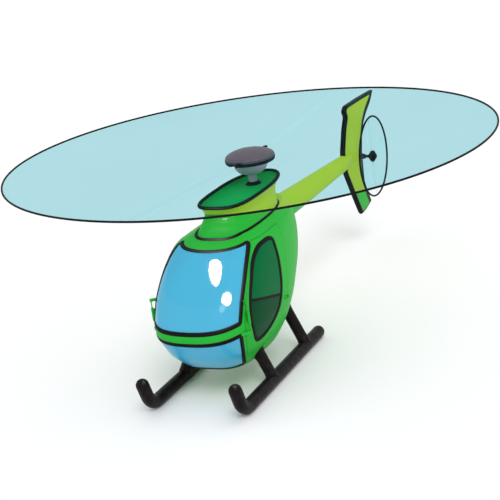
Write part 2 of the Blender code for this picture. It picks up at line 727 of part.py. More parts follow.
def build_main_rotor(datum, looks):
    """Mast and bowl, cap, see-through disc and blades, on an empty on the mast's line."""
    axis = empty("main_rotor_axis", (0, 0, GEARBOX_TOP), datum)
    mast = [(MAST_R, GEARBOX_TOP + GAP), (MAST_R, BOWL_LOW)]
    mast += [(radius, BOWL_LOW + height) for radius, height in BOWL]
    turned("rotor_mast", mast, (0, 0, 0), "Z", looks["grey"], axis, HUB_SIDES)
    cap = [(CAP_LOW_R, BOWL_TOP + GAP), (CAP_R, BOWL_TOP + CAP_EDGE)]
    cap += [(radius, CAP_TOP + height) for radius, height in CAP_CROWN]
    turned("rotor_hub_cap", cap, (0, 0, 0), "Z", looks["grey"], axis, HUB_SIDES, flat=True)
    start = CAP_R / math.cos(math.pi / HUB_SIDES) + 2 * SEAM
    profile = disc_profile(start, ROTOR_R, DISC_Z, ROTOR_RISE, DISC_THICK, RIM_TUBE)
    turned("rotor_disc", profile, (0, 0, 0), "Z", looks["disc"], axis, DISC_SIDES, hollow=True)
    rings = blade_rings(CAP_R + GAP, BLADE_TIP, BLADE_CHORD, BLADE_THICK, BLADE_ROOT_HALF,
                        BLADE_ROOT_THICK, ROTOR_RISE, DISC_Z - BLADE_DROP)
    for number, side in ((1, 1), (2, -1)):
        placed = [ring[:, [1, 0, 2]] * np.array([side, -side, 1.0]) for ring in rings]
        stack(f"rotor_blade_{number}", placed, looks["blade"], axis)


def build_tail(datum, looks, hull):
    """Boom, fin, tail gearbox and tail rotor."""
    t = np.arange(BOOM_SIDES) * 2 * math.pi / BOOM_SIDES

    def boom_rings(grow):
        rings = []
        for y, z, half, tall in BOOM:
            rings.append(np.stack([(half + grow) * np.cos(t), np.full(BOOM_SIDES, y),
                                   z + (tall + grow) * np.sin(t)], 1))
        rings[-1][:, 1] += grow
        return rings

    boom = stack("tail_boom", boom_rings(0.0), looks["lime"], datum)
    combine(boom, hull, "DIFFERENCE")
    slot = cutter(stack("boom_shape", boom_rings(2 * SEAM), looks["lime"], datum))

    # Fin with a rounded edge
    outline = np.array(FIN)
    ahead = np.roll(outline, -1, 0) - outline
    ahead /= np.linalg.norm(ahead, axis=1)[:, None]
    mean = ahead + np.roll(ahead, 1, 0)
    mean /= np.linalg.norm(mean, axis=1)[:, None]
    inward = np.stack([mean[:, 1], -mean[:, 0]], 1)
    small = outline + FIN_EDGE * inward
    rings = []
    for x, shape in ((-FIN_HALF, small), (-FIN_HALF + FIN_EDGE, outline),
                     (FIN_HALF - FIN_EDGE, outline), (FIN_HALF, small)):
        rings.append(np.hstack([np.full((len(shape), 1), x), shape]))
    fin = stack("tail_fin", rings, looks["lime"], datum)
    combine(fin, slot, "DIFFERENCE")

    def spun(name, profile, look, parent, count=TAIL_SIDES, hollow=False):
        """Body turned about the tail rotor's line, from radius and X pairs."""
        return turned(name, profile, (0, TAIL_Y, TAIL_Z), "X", looks[look], parent, count, hollow=hollow)

    spun("tail_gearbox", [(TAIL_BOX_R, FIN_HALF + GAP), (TAIL_BOX_R, TAIL_BOX_X - TAIL_BOX_EDGE),
                          (TAIL_BOX_R - TAIL_BOX_EDGE, TAIL_BOX_X)], "black", datum)

    # Shaft with the ball at its end
    axis = empty("tail_rotor_axis", (TAIL_HUB_X, TAIL_Y, TAIL_Z), datum)
    ball = [(TAIL_HUB_R * math.sin(a), TAIL_HUB_X - TAIL_HUB_R * math.cos(a)) for a in TAIL_BALL_ANGLES]
    shaft = [(TAIL_SHAFT_R, TAIL_BOX_X + GAP), (TAIL_SHAFT_R, ball[0][1])]
    spun("tail_rotor_hub", shaft + ball, "black", axis)

    # Two blades on a collar round the ball
    inside = TAIL_HUB_R + 2 * SEAM
    outside = TAIL_HUB_R + TAIL_COLLAR_WALL
    low, high = TAIL_HUB_X - TAIL_COLLAR, TAIL_HUB_X + TAIL_COLLAR
    collar = spun("tail_rotor_blades", [(outside, low), (outside, high), (inside, high), (inside, low)],
                  "blade", axis, hollow=True)
    rings = blade_rings(inside + TAIL_BLADE_START, TAIL_R - TAIL_BLADE_FREE, TAIL_BLADE_CHORD,
                        TAIL_BLADE_THICK, TAIL_ROOT_HALF, TAIL_ROOT_THICK, 0.0, 0.0)
    for side in (1, -1):
        placed = []
        for ring in rings:
            x = TAIL_HUB_X + TAIL_BLADE_SHIFT + ring[:, 2]
            placed.append(np.stack([x, TAIL_Y + side * ring[:, 1], TAIL_Z + side * ring[:, 0]], 1))
        combine(collar, cutter(stack(f"tail_blade_{side}", placed, looks["blade"], axis)), "UNION")

    profile = disc_profile(outside + 2 * SEAM, TAIL_R, TAIL_DISC_X, 0.0, TAIL_DISC_THICK, TAIL_RIM_TUBE)
    spun("tail_rotor_disc", profile, "disc", axis, TAIL_DISC_SIDES, hollow=True)


def tube(name, path, radius, count, material, parent, round_ends=True):
    """Round bar along points that stay in one upright plane x = constant."""
    path = np.asarray(path, float)
    tangent = np.gradient(path, axis=0)
    tangent /= np.linalg.norm(tangent, axis=1)[:, None]
    a, b = circle(count, radius, flat=True)
    rings = []
    for place, along in zip(path, tangent):
        side = np.array([1.0, 0, 0])
        up = np.cross(side, along)
        rings.append(place + a[:, None] * side + b[:, None] * up)
    if round_ends:
        caps = []
        for place, along, ring in ((path[0], -tangent[0], rings[0]), (path[-1], tangent[-1], rings[-1])):
            cap = []
            for turn in SKID_CAP_ANGLES:
                cap.append(place + (ring - place) * math.cos(turn) + along * radius * math.sin(turn))
            caps.append(cap)
        rings = caps[0][::-1] + rings + caps[1]
    return stack(name, rings, material, parent)


def skid_path(x):
    """Straight run, then an arc up to a short straight tip."""
    path = [(x, SKID_REAR, SKID_R), (x, SKID_BEND_Y, SKID_R)]
    for turn in np.linspace(0, SKID_BEND, SKID_BEND_STEPS + 1)[1:]:
        ahead, up = math.sin(turn), 1 - math.cos(turn)
        path.append((x, SKID_BEND_Y - SKID_BEND_R * ahead, SKID_R + SKID_BEND_R * up))
    last = np.array(path[-1])
    path.append(tuple(last + SKID_TIP * np.array([0, -math.cos(SKID_BEND), math.sin(SKID_BEND)])))
    return path


def build_skids(datum, looks, hull):
    """Two skids and the four legs that join them to the belly."""
    for side, word in ((1, "left"), (-1, "right")):
        x = side * SKID_X
        tube(f"skid_{word}", skid_path(x), SKID_R, SKID_SIDES, looks["black"], datum)
        run = [(x, y, SKID_R) for y in LEG_SEAT_RUN]
        seat = cutter(tube(f"skid_shape_{word}", run, SKID_R + SEAM, SKID_SIDES, looks["black"], datum,
                           round_ends=False))
        for place, y in LEG_STATIONS:
            foot = np.array([x, y, SKID_R + LEG_FOOT])
            top = np.array([side * (SKID_X - LEG_LEAN * LEG_TOP), y, SKID_R + LEG_TOP])
            along = (top - foot) / np.linalg.norm(top - foot)
            across = np.array([along[2], 0, -along[0]])
            a, b = circle(SKID_SIDES, LEG_R)
            rings = [p + a[:, None] * across + b[:, None] * np.array([0, 1.0, 0]) for p in (foot, top)]
            leg = stack(f"skid_leg_{place}_{word}", rings, looks["black"], datum)
            combine(leg, hull, "DIFFERENCE")
            combine(leg, seat, "DIFFERENCE")


def back_place(height, out):
    """Station and height of a point on the seat back's front, moved forward by out."""
    share = (height - SEAT_TOP) / (BACK_TOP - SEAT_TOP)
    return SEAT_REAR + BACK_LEAN * share - out, height


def build_cabin(datum, looks):
    """Seats, console, stick and engine block."""
    lean_top = SEAT_REAR + BACK_LEAN
    frame = [(SEAT_FRONT, FLOOR_TOP + GAP), (SEAT_REAR + BACK_FOOT, FLOOR_TOP + GAP),
             (lean_top + BACK_THICK, BACK_TOP), (lean_top, BACK_TOP), (SEAT_REAR, SEAT_TOP),
             (SEAT_FRONT, SEAT_TOP)]
    extruded("seat_frame", frame, -SEAT_HALF, SEAT_HALF, "X", looks["metal"], datum)
    seat = [(SEAT_FRONT + 0.004, SEAT_TOP + GAP), (SEAT_REAR - 0.006, SEAT_TOP + GAP),
            (SEAT_REAR + 0.008, SEAT_TOP + CUSHION), (SEAT_FRONT - 0.010, SEAT_TOP + CUSHION)]
    back = [back_place(BACK_START, BACK_CUSHION), back_place(BACK_START, BACK_FREE),
            back_place(BACK_END, BACK_FREE), back_place(BACK_END, BACK_CUSHION)]
    for side, word in ((1, "left"), (-1, "right")):
        low_x, high_x = sorted((side * CUSHION_MIDDLE, side * (SEAT_HALF - CUSHION_SIDE)))
        extruded(f"seat_cushion_{word}", seat, low_x, high_x, "X", looks["cloth"], datum, CUSHION_ROUND)
        extruded(f"back_cushion_{word}", back, low_x, high_x, "X", looks["cloth"], datum, CUSHION_ROUND)
    extruded("instrument_console", CONSOLE, -CONSOLE_HALF, CONSOLE_HALF, "X", looks["black"], datum,
             CONSOLE_ROUND)

    # Stick with its cross bar
    post = [(radius, FLOOR_TOP + height) for radius, height in STICK]
    stick = turned("cyclic_stick", post, (0, STICK_Y, 0), "Z", looks["black"], datum, STICK_SIDES)
    bar = turned("stick_bar", BAR, (0, STICK_Y, BAR_Z), "X", looks["black"], datum, STICK_SIDES)
    combine(stick, cutter(bar), "UNION")

    rear = BULKHEAD_Y + BULKHEAD_THICK + GAP
    block("engine_block", (-ENGINE_HALF, rear, ENGINE_LOW), (ENGINE_HALF, rear + ENGINE_LENGTH, ENGINE_TOP),
          looks["metal"], datum)


def main():
    clear_scene()
    looks = {
        "green": paint("green_paint", (0.041, 0.462, 0.069), 0.35),
        "lime": paint("lime_paint", (0.296, 0.545, 0.056), 0.35),
        "deck": paint("deck_green", (0.0, 0.319, 0.071), 0.55),
        "glass": paint("blue_glass", (0.091, 0.479, 0.768), 0.08, alpha=0.8),
        "dark_glass": paint("dark_green_glass", (0.001, 0.144, 0.042), 0.08, alpha=0.85),
        "disc": paint("pale_blue_disc", (0.429, 0.730, 0.776), 0.3, alpha=0.5),
        "blade": paint("pale_blue_blade", (0.35, 0.60, 0.66), 0.4),
        "grey": paint("hub_grey", (0.156, 0.150, 0.178), 0.4, 0.6),
        "black": paint("skid_black", (0.019, 0.012, 0.014), 0.45),
        "metal": paint("inner_metal", (0.30, 0.31, 0.32), 0.5, 0.7),
        "cloth": paint("seat_cloth", (0.05, 0.055, 0.06), 0.9),
    }
    datum = empty("mast_datum", (0, MAST_Y, 0))
    hull = hull_cutter(datum, looks)
    build_hull(datum, looks)
    for word, side in (("left", 1), ("right", -1)):
        build_door(word, side, datum, looks, hull)
    build_cowl(datum, looks)
    build_main_rotor(datum, looks)
    build_tail(datum, looks, hull)
    build_skids(datum, looks, hull)
    build_cabin(datum, looks)


main()
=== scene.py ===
"""Looks of a light two-seat helicopter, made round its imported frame.

Metres, in the frame's own axes: the nose points to -Y, the pilot's left is +X and +Z is up.
Stations along Y are given from the rotor mast, and Hull.world moves them to the mast's place.
"""
import logging
import math
from dataclasses import dataclass, field
from enum import Enum
from functools import lru_cache
from typing import Optional, Sequence

import bmesh
import bpy
import numpy as np
from mathutils import Matrix, Vector


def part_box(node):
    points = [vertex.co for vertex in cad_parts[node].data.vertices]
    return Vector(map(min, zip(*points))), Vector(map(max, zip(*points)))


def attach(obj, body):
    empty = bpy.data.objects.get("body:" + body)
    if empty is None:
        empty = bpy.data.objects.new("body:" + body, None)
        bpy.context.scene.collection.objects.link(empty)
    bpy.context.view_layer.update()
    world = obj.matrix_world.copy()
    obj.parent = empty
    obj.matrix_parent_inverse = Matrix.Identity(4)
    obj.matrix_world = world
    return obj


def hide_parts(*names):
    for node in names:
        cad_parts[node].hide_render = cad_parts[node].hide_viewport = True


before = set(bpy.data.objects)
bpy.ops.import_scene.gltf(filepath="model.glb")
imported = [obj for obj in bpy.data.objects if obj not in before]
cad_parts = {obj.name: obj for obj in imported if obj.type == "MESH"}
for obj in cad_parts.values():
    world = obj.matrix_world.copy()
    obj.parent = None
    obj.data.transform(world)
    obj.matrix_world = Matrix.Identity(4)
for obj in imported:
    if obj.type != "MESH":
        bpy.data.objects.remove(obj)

Array = np.ndarray
Colour = tuple[int, int, int]
Point = tuple[float, float, float]
Item = bpy.types.Object
Material = bpy.types.Material
Mesh = bpy.types.Mesh
Node = bpy.types.Node
Socket = bpy.types.NodeSocket
Tree = bpy.types.NodeTree

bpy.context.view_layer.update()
LOG = logging.getLogger("helicopter")
MERGE = 1e-5
SHARP = 35.0
POLE = 0.0005
UP = np.array([0.0, 0.0, 1.0])


class Body(Enum):
    """Moving groups of the frame."""

    AIRFRAME = "airframe"
    DOOR_LEFT = "door_left"
    DOOR_RIGHT = "door_right"
    MAIN_ROTOR = "main_rotor"
    TAIL_ROTOR = "tail_rotor"


class Slot(Enum):
    """Material slots of the record."""

    GREEN = "green"
    LIME = "lime"
    DECK = "deck"
    BLUE_GLASS = "blue_glass"
    DARK_GLASS = "dark_glass"
    DISC = "disc"
    BLADE = "blade"
    GREY = "grey"
    BLACK = "black"
    METAL = "metal"
    BOOM = "boom_paint"
    TRIM = "trim"
    CLOTH = "cloth"


class Side(Enum):
    """The two sides of the machine, as the pilot sees them."""

    LEFT = 1
    RIGHT = -1

    @property
    def word(self) -> str:
        """Name of the side in node names."""
        return self.name.lower()

    @property
    def door(self) -> Body:
        """Body of the door on this side."""
        return Body.DOOR_LEFT if self is Side.LEFT else Body.DOOR_RIGHT


# Arrays and curves

def unit(vectors: Array) -> Array:
    """Vectors scaled to length one."""
    return vectors / np.linalg.norm(vectors, axis=-1, keepdims=True)


def ring_turns(count: int) -> Array:
    """Even turns of a full circle, in radians."""
    return np.arange(count) * 2 * math.pi / count
def pack(*parts: Array | float) -> Array:
    """Points from their coordinates, each spread to one common shape."""
    return np.stack(np.broadcast_arrays(*parts), axis=-1)

def join(*parts: Array, axis: int = 0) -> Array:
    """Arrays one after another."""
    return np.concatenate(parts, axis)


def superellipse(turns: Array, power: Array | float) -> tuple[Array, Array]:
    """Sine and cosine pushed out to a rounded box.

    The point at turn t is (sin t, cos t) divided by (|sin t|^p + |cos t|^p)^(1/p).

    Args:
        turns: Directions in radians.
        power: 2 gives a circle, more gives squarer corners.

    Returns:
        The two coordinates of each point.
    """
    sine, cosine = np.sin(turns), np.cos(turns)
    reach = (np.abs(sine) ** power + np.abs(cosine) ** power) ** (1 / power)
    return sine / reach, cosine / reach


def monotone(x: Array, knots: Array, values: Array) -> Array:
    """Smooth curve through knots that never overshoots them.

    Each span is a cubic whose end slopes are harmonic means of the chords beside them.

    Args:
        x: Where the curve is wanted.
        knots: Rising places of the known values.
        values: Known values.

    Returns:
        The curve at x.
    """
    span = np.diff(knots)
    chord = np.diff(values) / span
    with np.errstate(divide="ignore", invalid="ignore"):
        before = (2 * span[1:] + span[:-1]) / chord[:-1]
        after = (span[1:] + 2 * span[:-1]) / chord[1:]
        inner = 3 * (span[:-1] + span[1:]) / (before + after)
    inner = np.where(chord[:-1] * chord[1:] > 0, inner, 0.0)
    slope = join(chord[:1], inner, chord[-1:])
    k = np.clip(np.searchsorted(knots, x) - 1, 0, len(knots) - 2)
    t = (x - knots[k]) / span[k]
    low = (2 * t**3 - 3 * t**2 + 1) * values[k] + (t**3 - 2 * t**2 + t) * span[k] * slope[k]
    high = (-2 * t**3 + 3 * t**2) * values[k + 1] + (t**3 - t**2) * span[k] * slope[k + 1]
    return low + high


def at_stations(table: Sequence[Sequence[float]], place: Array) -> list[Array]:
    """The other columns of a table, smooth between its rows, at places along its first column."""
    knots, *columns = np.array(table).T
    return [monotone(place, knots, column) for column in columns]


def rounded(points: Sequence[Sequence[float]], radius: float, closed: bool = False, steps: int = 6) -> Array:
    """Line with its corners rounded.

    A corner B becomes the curve (1-t)^2 A + 2t(1-t) B + t^2 C, with A and C a radius away along its sides.

    Args:
        points: Corners of the line.
        radius: Length that the rounding takes from each side, at most 0.45 of it.
        closed: Whether the last corner joins the first.
        steps: Pieces in each rounding.

    Returns:
        The rounded line.
    """
    corner = np.asarray(points, float)
    back, ahead = np.roll(corner, 1, 0) - corner, np.roll(corner, -1, 0) - corner
    back_long = np.linalg.norm(back, axis=1, keepdims=True)
    ahead_long = np.linalg.norm(ahead, axis=1, keepdims=True)
    start = corner + back / back_long * np.minimum(radius, 0.45 * back_long)
    end = corner + ahead / ahead_long * np.minimum(radius, 0.45 * ahead_long)
    t = np.linspace(0, 1, steps + 1)[None, :, None]
    curve = (1 - t) ** 2 * start[:, None] + 2 * t * (1 - t) * corner[:, None] + t**2 * end[:, None]
    if closed:
        return curve.reshape(-1, corner.shape[1])
    middle = curve[1:-1].reshape(-1, corner.shape[1])
    return join(corner[:1], middle, corner[-1:])


def even(line: Array, solid: Array, step: float, closed: bool) -> Array:
    """Line resampled at even lengths along its course in space.

    Args:
        line: Points in any coordinates.
        solid: The same points in space.
        step: Wanted spacing.
        closed: Whether the last point joins the first.

    Returns:
        Points of the line, evenly spaced.
    """
    if closed:
        line, solid = np.vstack([line, line[:1]]), np.vstack([solid, solid[:1]])
    length = join([0], np.cumsum(np.linalg.norm(np.diff(solid, axis=0), axis=1)))
    count = max(4, int(length[-1] / step))
    place = np.linspace(0, length[-1], count + 1)
    if closed:
        place = place[:-1]
    return np.stack([np.interp(place, length, column) for column in line.T], axis=1)


def soften(line: Array, reach: int, closed: bool) -> Array:
    """Line smoothed by a rising and falling average of its neighbours.

    Args:
        line: Evenly spaced points.
        reach: Neighbours taken on each side.
        closed: Whether the last point joins the first; the ends of an open line stay.

    Returns:
        The smoothed line.
    """
    weight = np.hanning(2 * reach + 3)[1:-1]
    weight /= weight.sum()
    if closed:
        long = join(line[-reach:], line, line[:reach])
    else:
        long = join(2 * line[:1] - line[reach:0:-1], line, 2 * line[-1:] - line[-2:-reach - 2:-1])
    return np.stack([np.convolve(column, weight, "valid") for column in long.T], axis=1)


def sweep(path: Array, out: Array, section: Array, closed: bool = False,
          scale: Optional[Array] = None) -> Array:
    """Section carried along a path.

    The point is path + a * side + b * up: side is across the path, and up is the part of out square to it.

    Args:
        path: Points of the path.
        out: Upward direction at each point.
        section: Pairs a, b round the section.
        closed: Whether the path joins its start.
        scale: Size of the section at each point.

    Returns:
        Rings of points, one for each point of the path.
    """
    along = np.roll(path, -1, 0) - np.roll(path, 1, 0) if closed else np.gradient(path, axis=0)
    along = unit(along)
    side = unit(np.cross(along, out))
    up = np.cross(side, along)
    size = np.ones(len(path)) if scale is None else scale
    across = section[None, :, :1] * side[:, None] + section[None, :, 1:] * up[:, None]
    return path[:, None] + size[:, None, None] * across


def strip_section(half: float, rise: float, sink: float, count: int = 14) -> Array:
    """Flat oval section that stands proud by rise and reaches down by sink."""
    sine, cosine = superellipse(ring_turns(count), 2.8)
    return pack(half * sine, (rise + sink) / 2 * cosine + (rise - sink) / 2)


def round_section(radius: float, count: int = 16) -> Array:
    """Circular section."""
    turns = ring_turns(count)
    return radius * pack(np.sin(turns), np.cos(turns))


def round_tube(path: Array, out: Array, radius: float, count: int = 24, steps: int = 6) -> Array:
    """Rings of a round bar with ball ends.

    At an end the ring at turn t is the bar's ring times cos t, moved out by radius times sin t.

    Args:
        path: Points of the bar's line.
        out: A direction square to the line, for each point.
        radius: Radius of the bar.
        count: Points in each ring.
        steps: Rings in each end.

    Returns:
        Rings from one pole to the other.
    """
    turns = np.linspace(0, math.radians(86), steps + 1)[1:]
    first, last = unit(path[0] - path[1]), unit(path[-1] - path[-2])
    start = path[0] + radius * np.sin(turns)[::-1, None] * first
    end = path[-1] + radius * np.sin(turns)[:, None] * last
    line = join(start, path, end)
    scale = join(np.cos(turns)[::-1], np.ones(len(path)), np.cos(turns))
    return sweep(line, out, round_section(radius, count), scale=scale)


def turned(profile: Array, centre: Sequence[float], axis: Sequence[float], count: int = 64) -> Array:
    """Profile turned about an axis.

    The point is centre + height * axis + radius * (cos t * a + sin t * b), with a and b square to the axis.

    Args:
        profile: Radius and height pairs.
        centre: Where height is zero.
        axis: Direction of the axis.
        count: Points round the turn.

    Returns:
        Rings of points, one for each pair.
    """
    line = unit(np.asarray(axis, float))
    a = unit(np.cross(line, [0.0, 1.0, 0.0]))
    b = np.cross(line, a)
    turns = ring_turns(count)
    circle = np.cos(turns)[:, None] * a + np.sin(turns)[:, None] * b
    profile = np.asarray(profile, float)
    return np.asarray(centre) + profile[:, 1, None, None] * line + profile[:, 0, None, None] * circle


# Pieces

@dataclass
class Shell:
    """Points and faces gathered for one piece."""

    points: list[Array] = field(default_factory=list)
    faces: list[list[int]] = field(default_factory=list)
    size: int = 0

    def grid(self, points: Array, close_rows: bool = False, close_columns: bool = False) -> Array:
        """Adds a grid of points and the quads between them.

        Args:
            points: Rows and columns of points.
            close_rows: Whether the last row joins the first.
            close_columns: Whether the last column joins the first.

        Returns:
            Index of each point.
        """
        rows, columns = points.shape[:2]
        index = self.size + np.arange(rows * columns).reshape(rows, columns)
        self.points.append(points.reshape(-1, 3))
        self.size += rows * columns
        wide = np.vstack([index, index[:1]]) if close_rows else index
        wide = np.hstack([wide, wide[:, :1]]) if close_columns else wide
        quads = np.stack([wide[:-1, :-1], wide[:-1, 1:], wide[1:, 1:], wide[1:, :-1]], axis=-1)
        self.faces += quads.reshape(-1, 4).tolist()
        return index

    def tube(self, rings: Array, closed: bool = False) -> "Shell":
        """Adds sections joined one after another, with a lid on each open end.

        Args:
            rings: Sections of points, one after another.
            closed: Whether the last section joins the first.

        Returns:
            The shell itself.
        """
        index = self.grid(rings, close_rows=closed, close_columns=True)
        if not closed:
            self.faces += [index[0][::-1].tolist(), index[-1].tolist()]
        return self

    def slab(self, outer: Array, inner: Array) -> "Shell":
        """Adds a wall between two matching grids.

        Args:
            outer: Grid of the outer face.
            inner: Grid of the inner face.

        Returns:
            The shell itself.
        """
        columns = outer.shape[1]
        index = self.grid(join(outer, inner[:, ::-1], axis=1), close_columns=True)
        for row in (index[0], index[-1]):
            near, far = row[:columns], row[:columns - 1:-1]
            self.faces += pack(near[:-1], near[1:], far[1:], far[:-1]).tolist()
        return self

    def many(self, points: Array) -> "Shell":
        """Adds many small closed tubes.

        Args:
            points: Points by tube, ring and place in the ring.

        Returns:
            The shell itself.
        """
        for rings in points:
            self.tube(rings)
        return self

    def lathe(self, profile: Array, centre: Sequence[float], axis: Sequence[float],
              count: int = 64) -> "Shell":
        """Adds a turned profile, joined in a ring where both its ends stay off the axis."""
        hollow = min(profile[0][0], profile[-1][0]) > POLE
        return self.tube(turned(profile, centre, axis, count), closed=hollow)

    def mesh(self, name: str, marks: Optional[dict[str, Array]] = None) -> Mesh:
        """Makes the mesh, with its seams merged and its faces pointing out.

        Args:
            name: Name of the mesh.
            marks: Number for each point, by attribute name.

        Returns:
            The new mesh.
        """
        mesh = bpy.data.meshes.new(name)
        mesh.from_pydata(np.concatenate(self.points).tolist(), [], self.faces)
        for word, values in (marks or {}).items():
            layer = mesh.attributes.new(word, "FLOAT", "POINT")
            layer.data.foreach_set("value", np.asarray(values, np.float32).ravel())
        work = bmesh.new()
        work.from_mesh(mesh)
        bmesh.ops.remove_doubles(work, verts=work.verts, dist=MERGE)
        bmesh.ops.recalc_face_normals(work, faces=work.faces)
        work.to_mesh(mesh)
        work.free()
        return mesh


def add_piece(name: str, shell: Shell, finish: "Finish", replaces: str = "",
              body: Body = Body.AIRFRAME, marks: Optional[dict[str, Array]] = None) -> Item:
    """Makes one piece of the helicopter and puts it on its body.

    Args:
        name: Name of the piece.
        shell: Its points and faces.
        finish: Its surface.
        replaces: Frame node that it stands for.
        body: Body that it rides on.
        marks: Number for each point, by attribute name.

    Returns:
        The new object.
    """
    mesh = shell.mesh(name, marks)
    mesh.shade_smooth()
    mesh.set_sharp_from_angle(angle=math.radians(SHARP))
    return settle(place_object(name, mesh), finish, replaces, body)


def place_object(name: str, data: bpy.types.ID, axes: Optional[Sequence[Array]] = None,
                 place: Sequence[float] = (0.0, 0.0, 0.0)) -> Item:
    """Puts a mesh, lamp or camera in the scene.

    Args:
        name: Name of the object.
        data: What it shows.
        axes: Directions of its X, Y and Z, unless they are the world's.
        place: Where it stands.

    Returns:
        The new object.
    """
    item = bpy.data.objects.new(name, data)
    if axes is not None:
        item.matrix_world = Matrix([[*row, x] for row, x in zip(np.stack(axes, axis=1), place)]
                                   + [[0, 0, 0, 1]])
    bpy.context.scene.collection.objects.link(item)
    return item


def settle(piece: Item, finish: "Finish", replaces: str = "",
           body: Body = Body.AIRFRAME) -> Item:
    """Gives a finished object its surface, body and the nodes that it stands for.

    Args:
        piece: The object.
        finish: Its surface.
        replaces: Frame node that it stands for.
        body: Body that it rides on.

    Returns:
        The same object.
    """
    cover(piece, finish)
    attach(piece, body.value)
    if replaces:
        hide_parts(replaces)
    LOG.info("%s: %d faces on %s", piece.name, len(piece.data.polygons), body.value)
    return piece


def cover(item: Item, finish: "Finish") -> None:
    """Gives an object one finish all over."""
    item.data.materials.clear()
    item.data.materials.append(material_of(finish))


def dress(node: str, finish: "Finish") -> None:
    """Gives a node of the frame its surface."""
    cover(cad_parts[node], finish)
    LOG.info("%s: kept from the frame as %s", node, finish.name)


# Node trees

@dataclass
class Wiring:
    """A node tree and short ways to fill it."""

    tree: Tree

    def add(self, kind: str, sockets: Optional[dict[str, object]] = None, **settings: object) -> Node:
        """Adds a node.

        Args:
            kind: Blender's name of the node after ShaderNode.
            sockets: Value or socket for each named input.
            settings: Properties of the node.

        Returns:
            The new node.
        """
        node = self.tree.nodes.new("ShaderNode" + kind)
        for word, value in settings.items():
            setattr(node, word, value)
        self.fill(node.inputs, sockets or {})
        return node

    def fill(self, inputs: bpy.types.bpy_prop_collection, values: dict[object, object]) -> None:
        """Links or sets several inputs.

        Args:
            inputs: Sockets of a node.
            values: Number, colour or linked socket for each, by name or place.
        """
        for word, value in values.items():
            if isinstance(value, Socket):
                self.tree.links.new(value, inputs[word])
            else:
                inputs[word].default_value = value

    @property
    def shader(self) -> Node:
        """The material's Principled BSDF."""
        return self.tree.nodes["Principled BSDF"]

    def surface(self, values: dict[str, object]) -> None:
        """Fills inputs of the material's Principled BSDF."""
        self.fill(self.shader.inputs, values)

    def sum(self, operation: str, *values: object) -> Socket:
        """Result of one Math node."""
        return self.add("Math", dict(enumerate(values)), operation=operation).outputs[0]

    def share(self, value: object, low: float, high: float) -> Socket:
        """Smooth rise from 0 at low to 1 at high; it falls where low is over high."""
        sockets = {"Value": value, "From Min": low, "From Max": high}
        return self.add("MapRange", sockets, interpolation_type="SMOOTHSTEP").outputs[0]

    def mix(self, share: object, first: object, second: object) -> Socket:
        """Colour between two colours."""
        return self.add("Mix", {0: share, 6: first, 7: second}, data_type="RGBA").outputs[2]

    def place(self) -> Socket:
        """Object coordinates."""
        return (self.tree.nodes.get("Texture Coordinate") or self.add("TexCoord")).outputs["Object"]

    def clouds(self, colour: object, scale: float, amount: float) -> Socket:
        """Colour in soft lighter and darker clouds."""
        sockets = {"Colour": colour, "Vector": self.place(), "Scale": scale, "Amount": amount}
        return self.add("Group", sockets, node_tree=tone_group()).outputs["Colour"]

    def dusty(self, colour: object, top: float, amount: float) -> Socket:
        """Colour with dust on its low parts, less and less up to the height top."""
        given = {"Colour": colour, "Dust": linear(DUST), "Vector": self.place(), "Top": top, "Amount": amount}
        return self.add("Group", given, node_tree=dust_group()).outputs["Colour"]

    def grain(self, vector: object, scale: float, strength: float, depth: float) -> Node:
        """Fine grain, as a normal and a mask."""
        sockets = {"Vector": vector, "Scale": scale, "Strength": strength, "Depth": depth}
        return self.add("Group", sockets, node_tree=grain_group())


def open_group(name: str, inputs: dict[str, str], outputs: dict[str, str]) -> tuple[Wiring, object, object]:
    """Starts a shader node group.

    Args:
        name: Name of the group.
        inputs: Kind of each input by name.
        outputs: Kind of each output by name.

    Returns:
        The group's wiring, the sockets that it is given and the sockets that it gives.
    """
    tree = bpy.data.node_groups.new(name, "ShaderNodeTree")
    for way, sockets in (("INPUT", inputs), ("OUTPUT", outputs)):
        for word, kind in sockets.items():
            tree.interface.new_socket(word, in_out=way, socket_type="NodeSocket" + kind)
    entry, leave = tree.nodes.new("NodeGroupInput"), tree.nodes.new("NodeGroupOutput")
    return Wiring(tree), entry.outputs, leave.inputs


@lru_cache(maxsize=None)
def tone_group() -> Tree:
    """Group that lightens and darkens a colour in soft clouds: colour * (1 + amount * (2 * noise - 1)).

    Returns:
        The group.
    """
    kinds = {"Colour": "Color", "Vector": "Vector", "Scale": "Float", "Amount": "Float"}
    wiring, given, result = open_group("tone_clouds", kinds, {"Colour": "Color"})
    noise = wiring.add("TexNoise", {"Vector": given["Vector"], "Scale": given["Scale"], "Detail": 3.0})
    swing = wiring.sum("MULTIPLY_ADD", noise.outputs["Fac"], 2.0, -1.0)
    factor = wiring.sum("MULTIPLY_ADD", swing, given["Amount"], 1.0)
    scaled = wiring.add("VectorMath", {0: given["Colour"], "Scale": factor}, operation="SCALE")
    wiring.fill(result, {"Colour": scaled.outputs[0]})
    return wiring.tree


@lru_cache(maxsize=None)
def grain_group() -> Tree:
    """Group that gives a fine uneven surface: a bump of noise, and the noise itself as a mask.

    Returns:
        The group.
    """
    kinds = {"Vector": "Vector", "Scale": "Float", "Strength": "Float", "Depth": "Float"}
    wiring, given, result = open_group("fine_grain", kinds, {"Normal": "Vector", "Mask": "Float"})
    noise = wiring.add("TexNoise", {"Vector": given["Vector"], "Scale": given["Scale"], "Detail": 4.0})
    height = noise.outputs["Fac"]
    bump = wiring.add("Bump", {"Strength": given["Strength"], "Distance": given["Depth"], "Height": height})
    wiring.fill(result, {"Normal": bump.outputs[0], "Mask": height})
    return wiring.tree


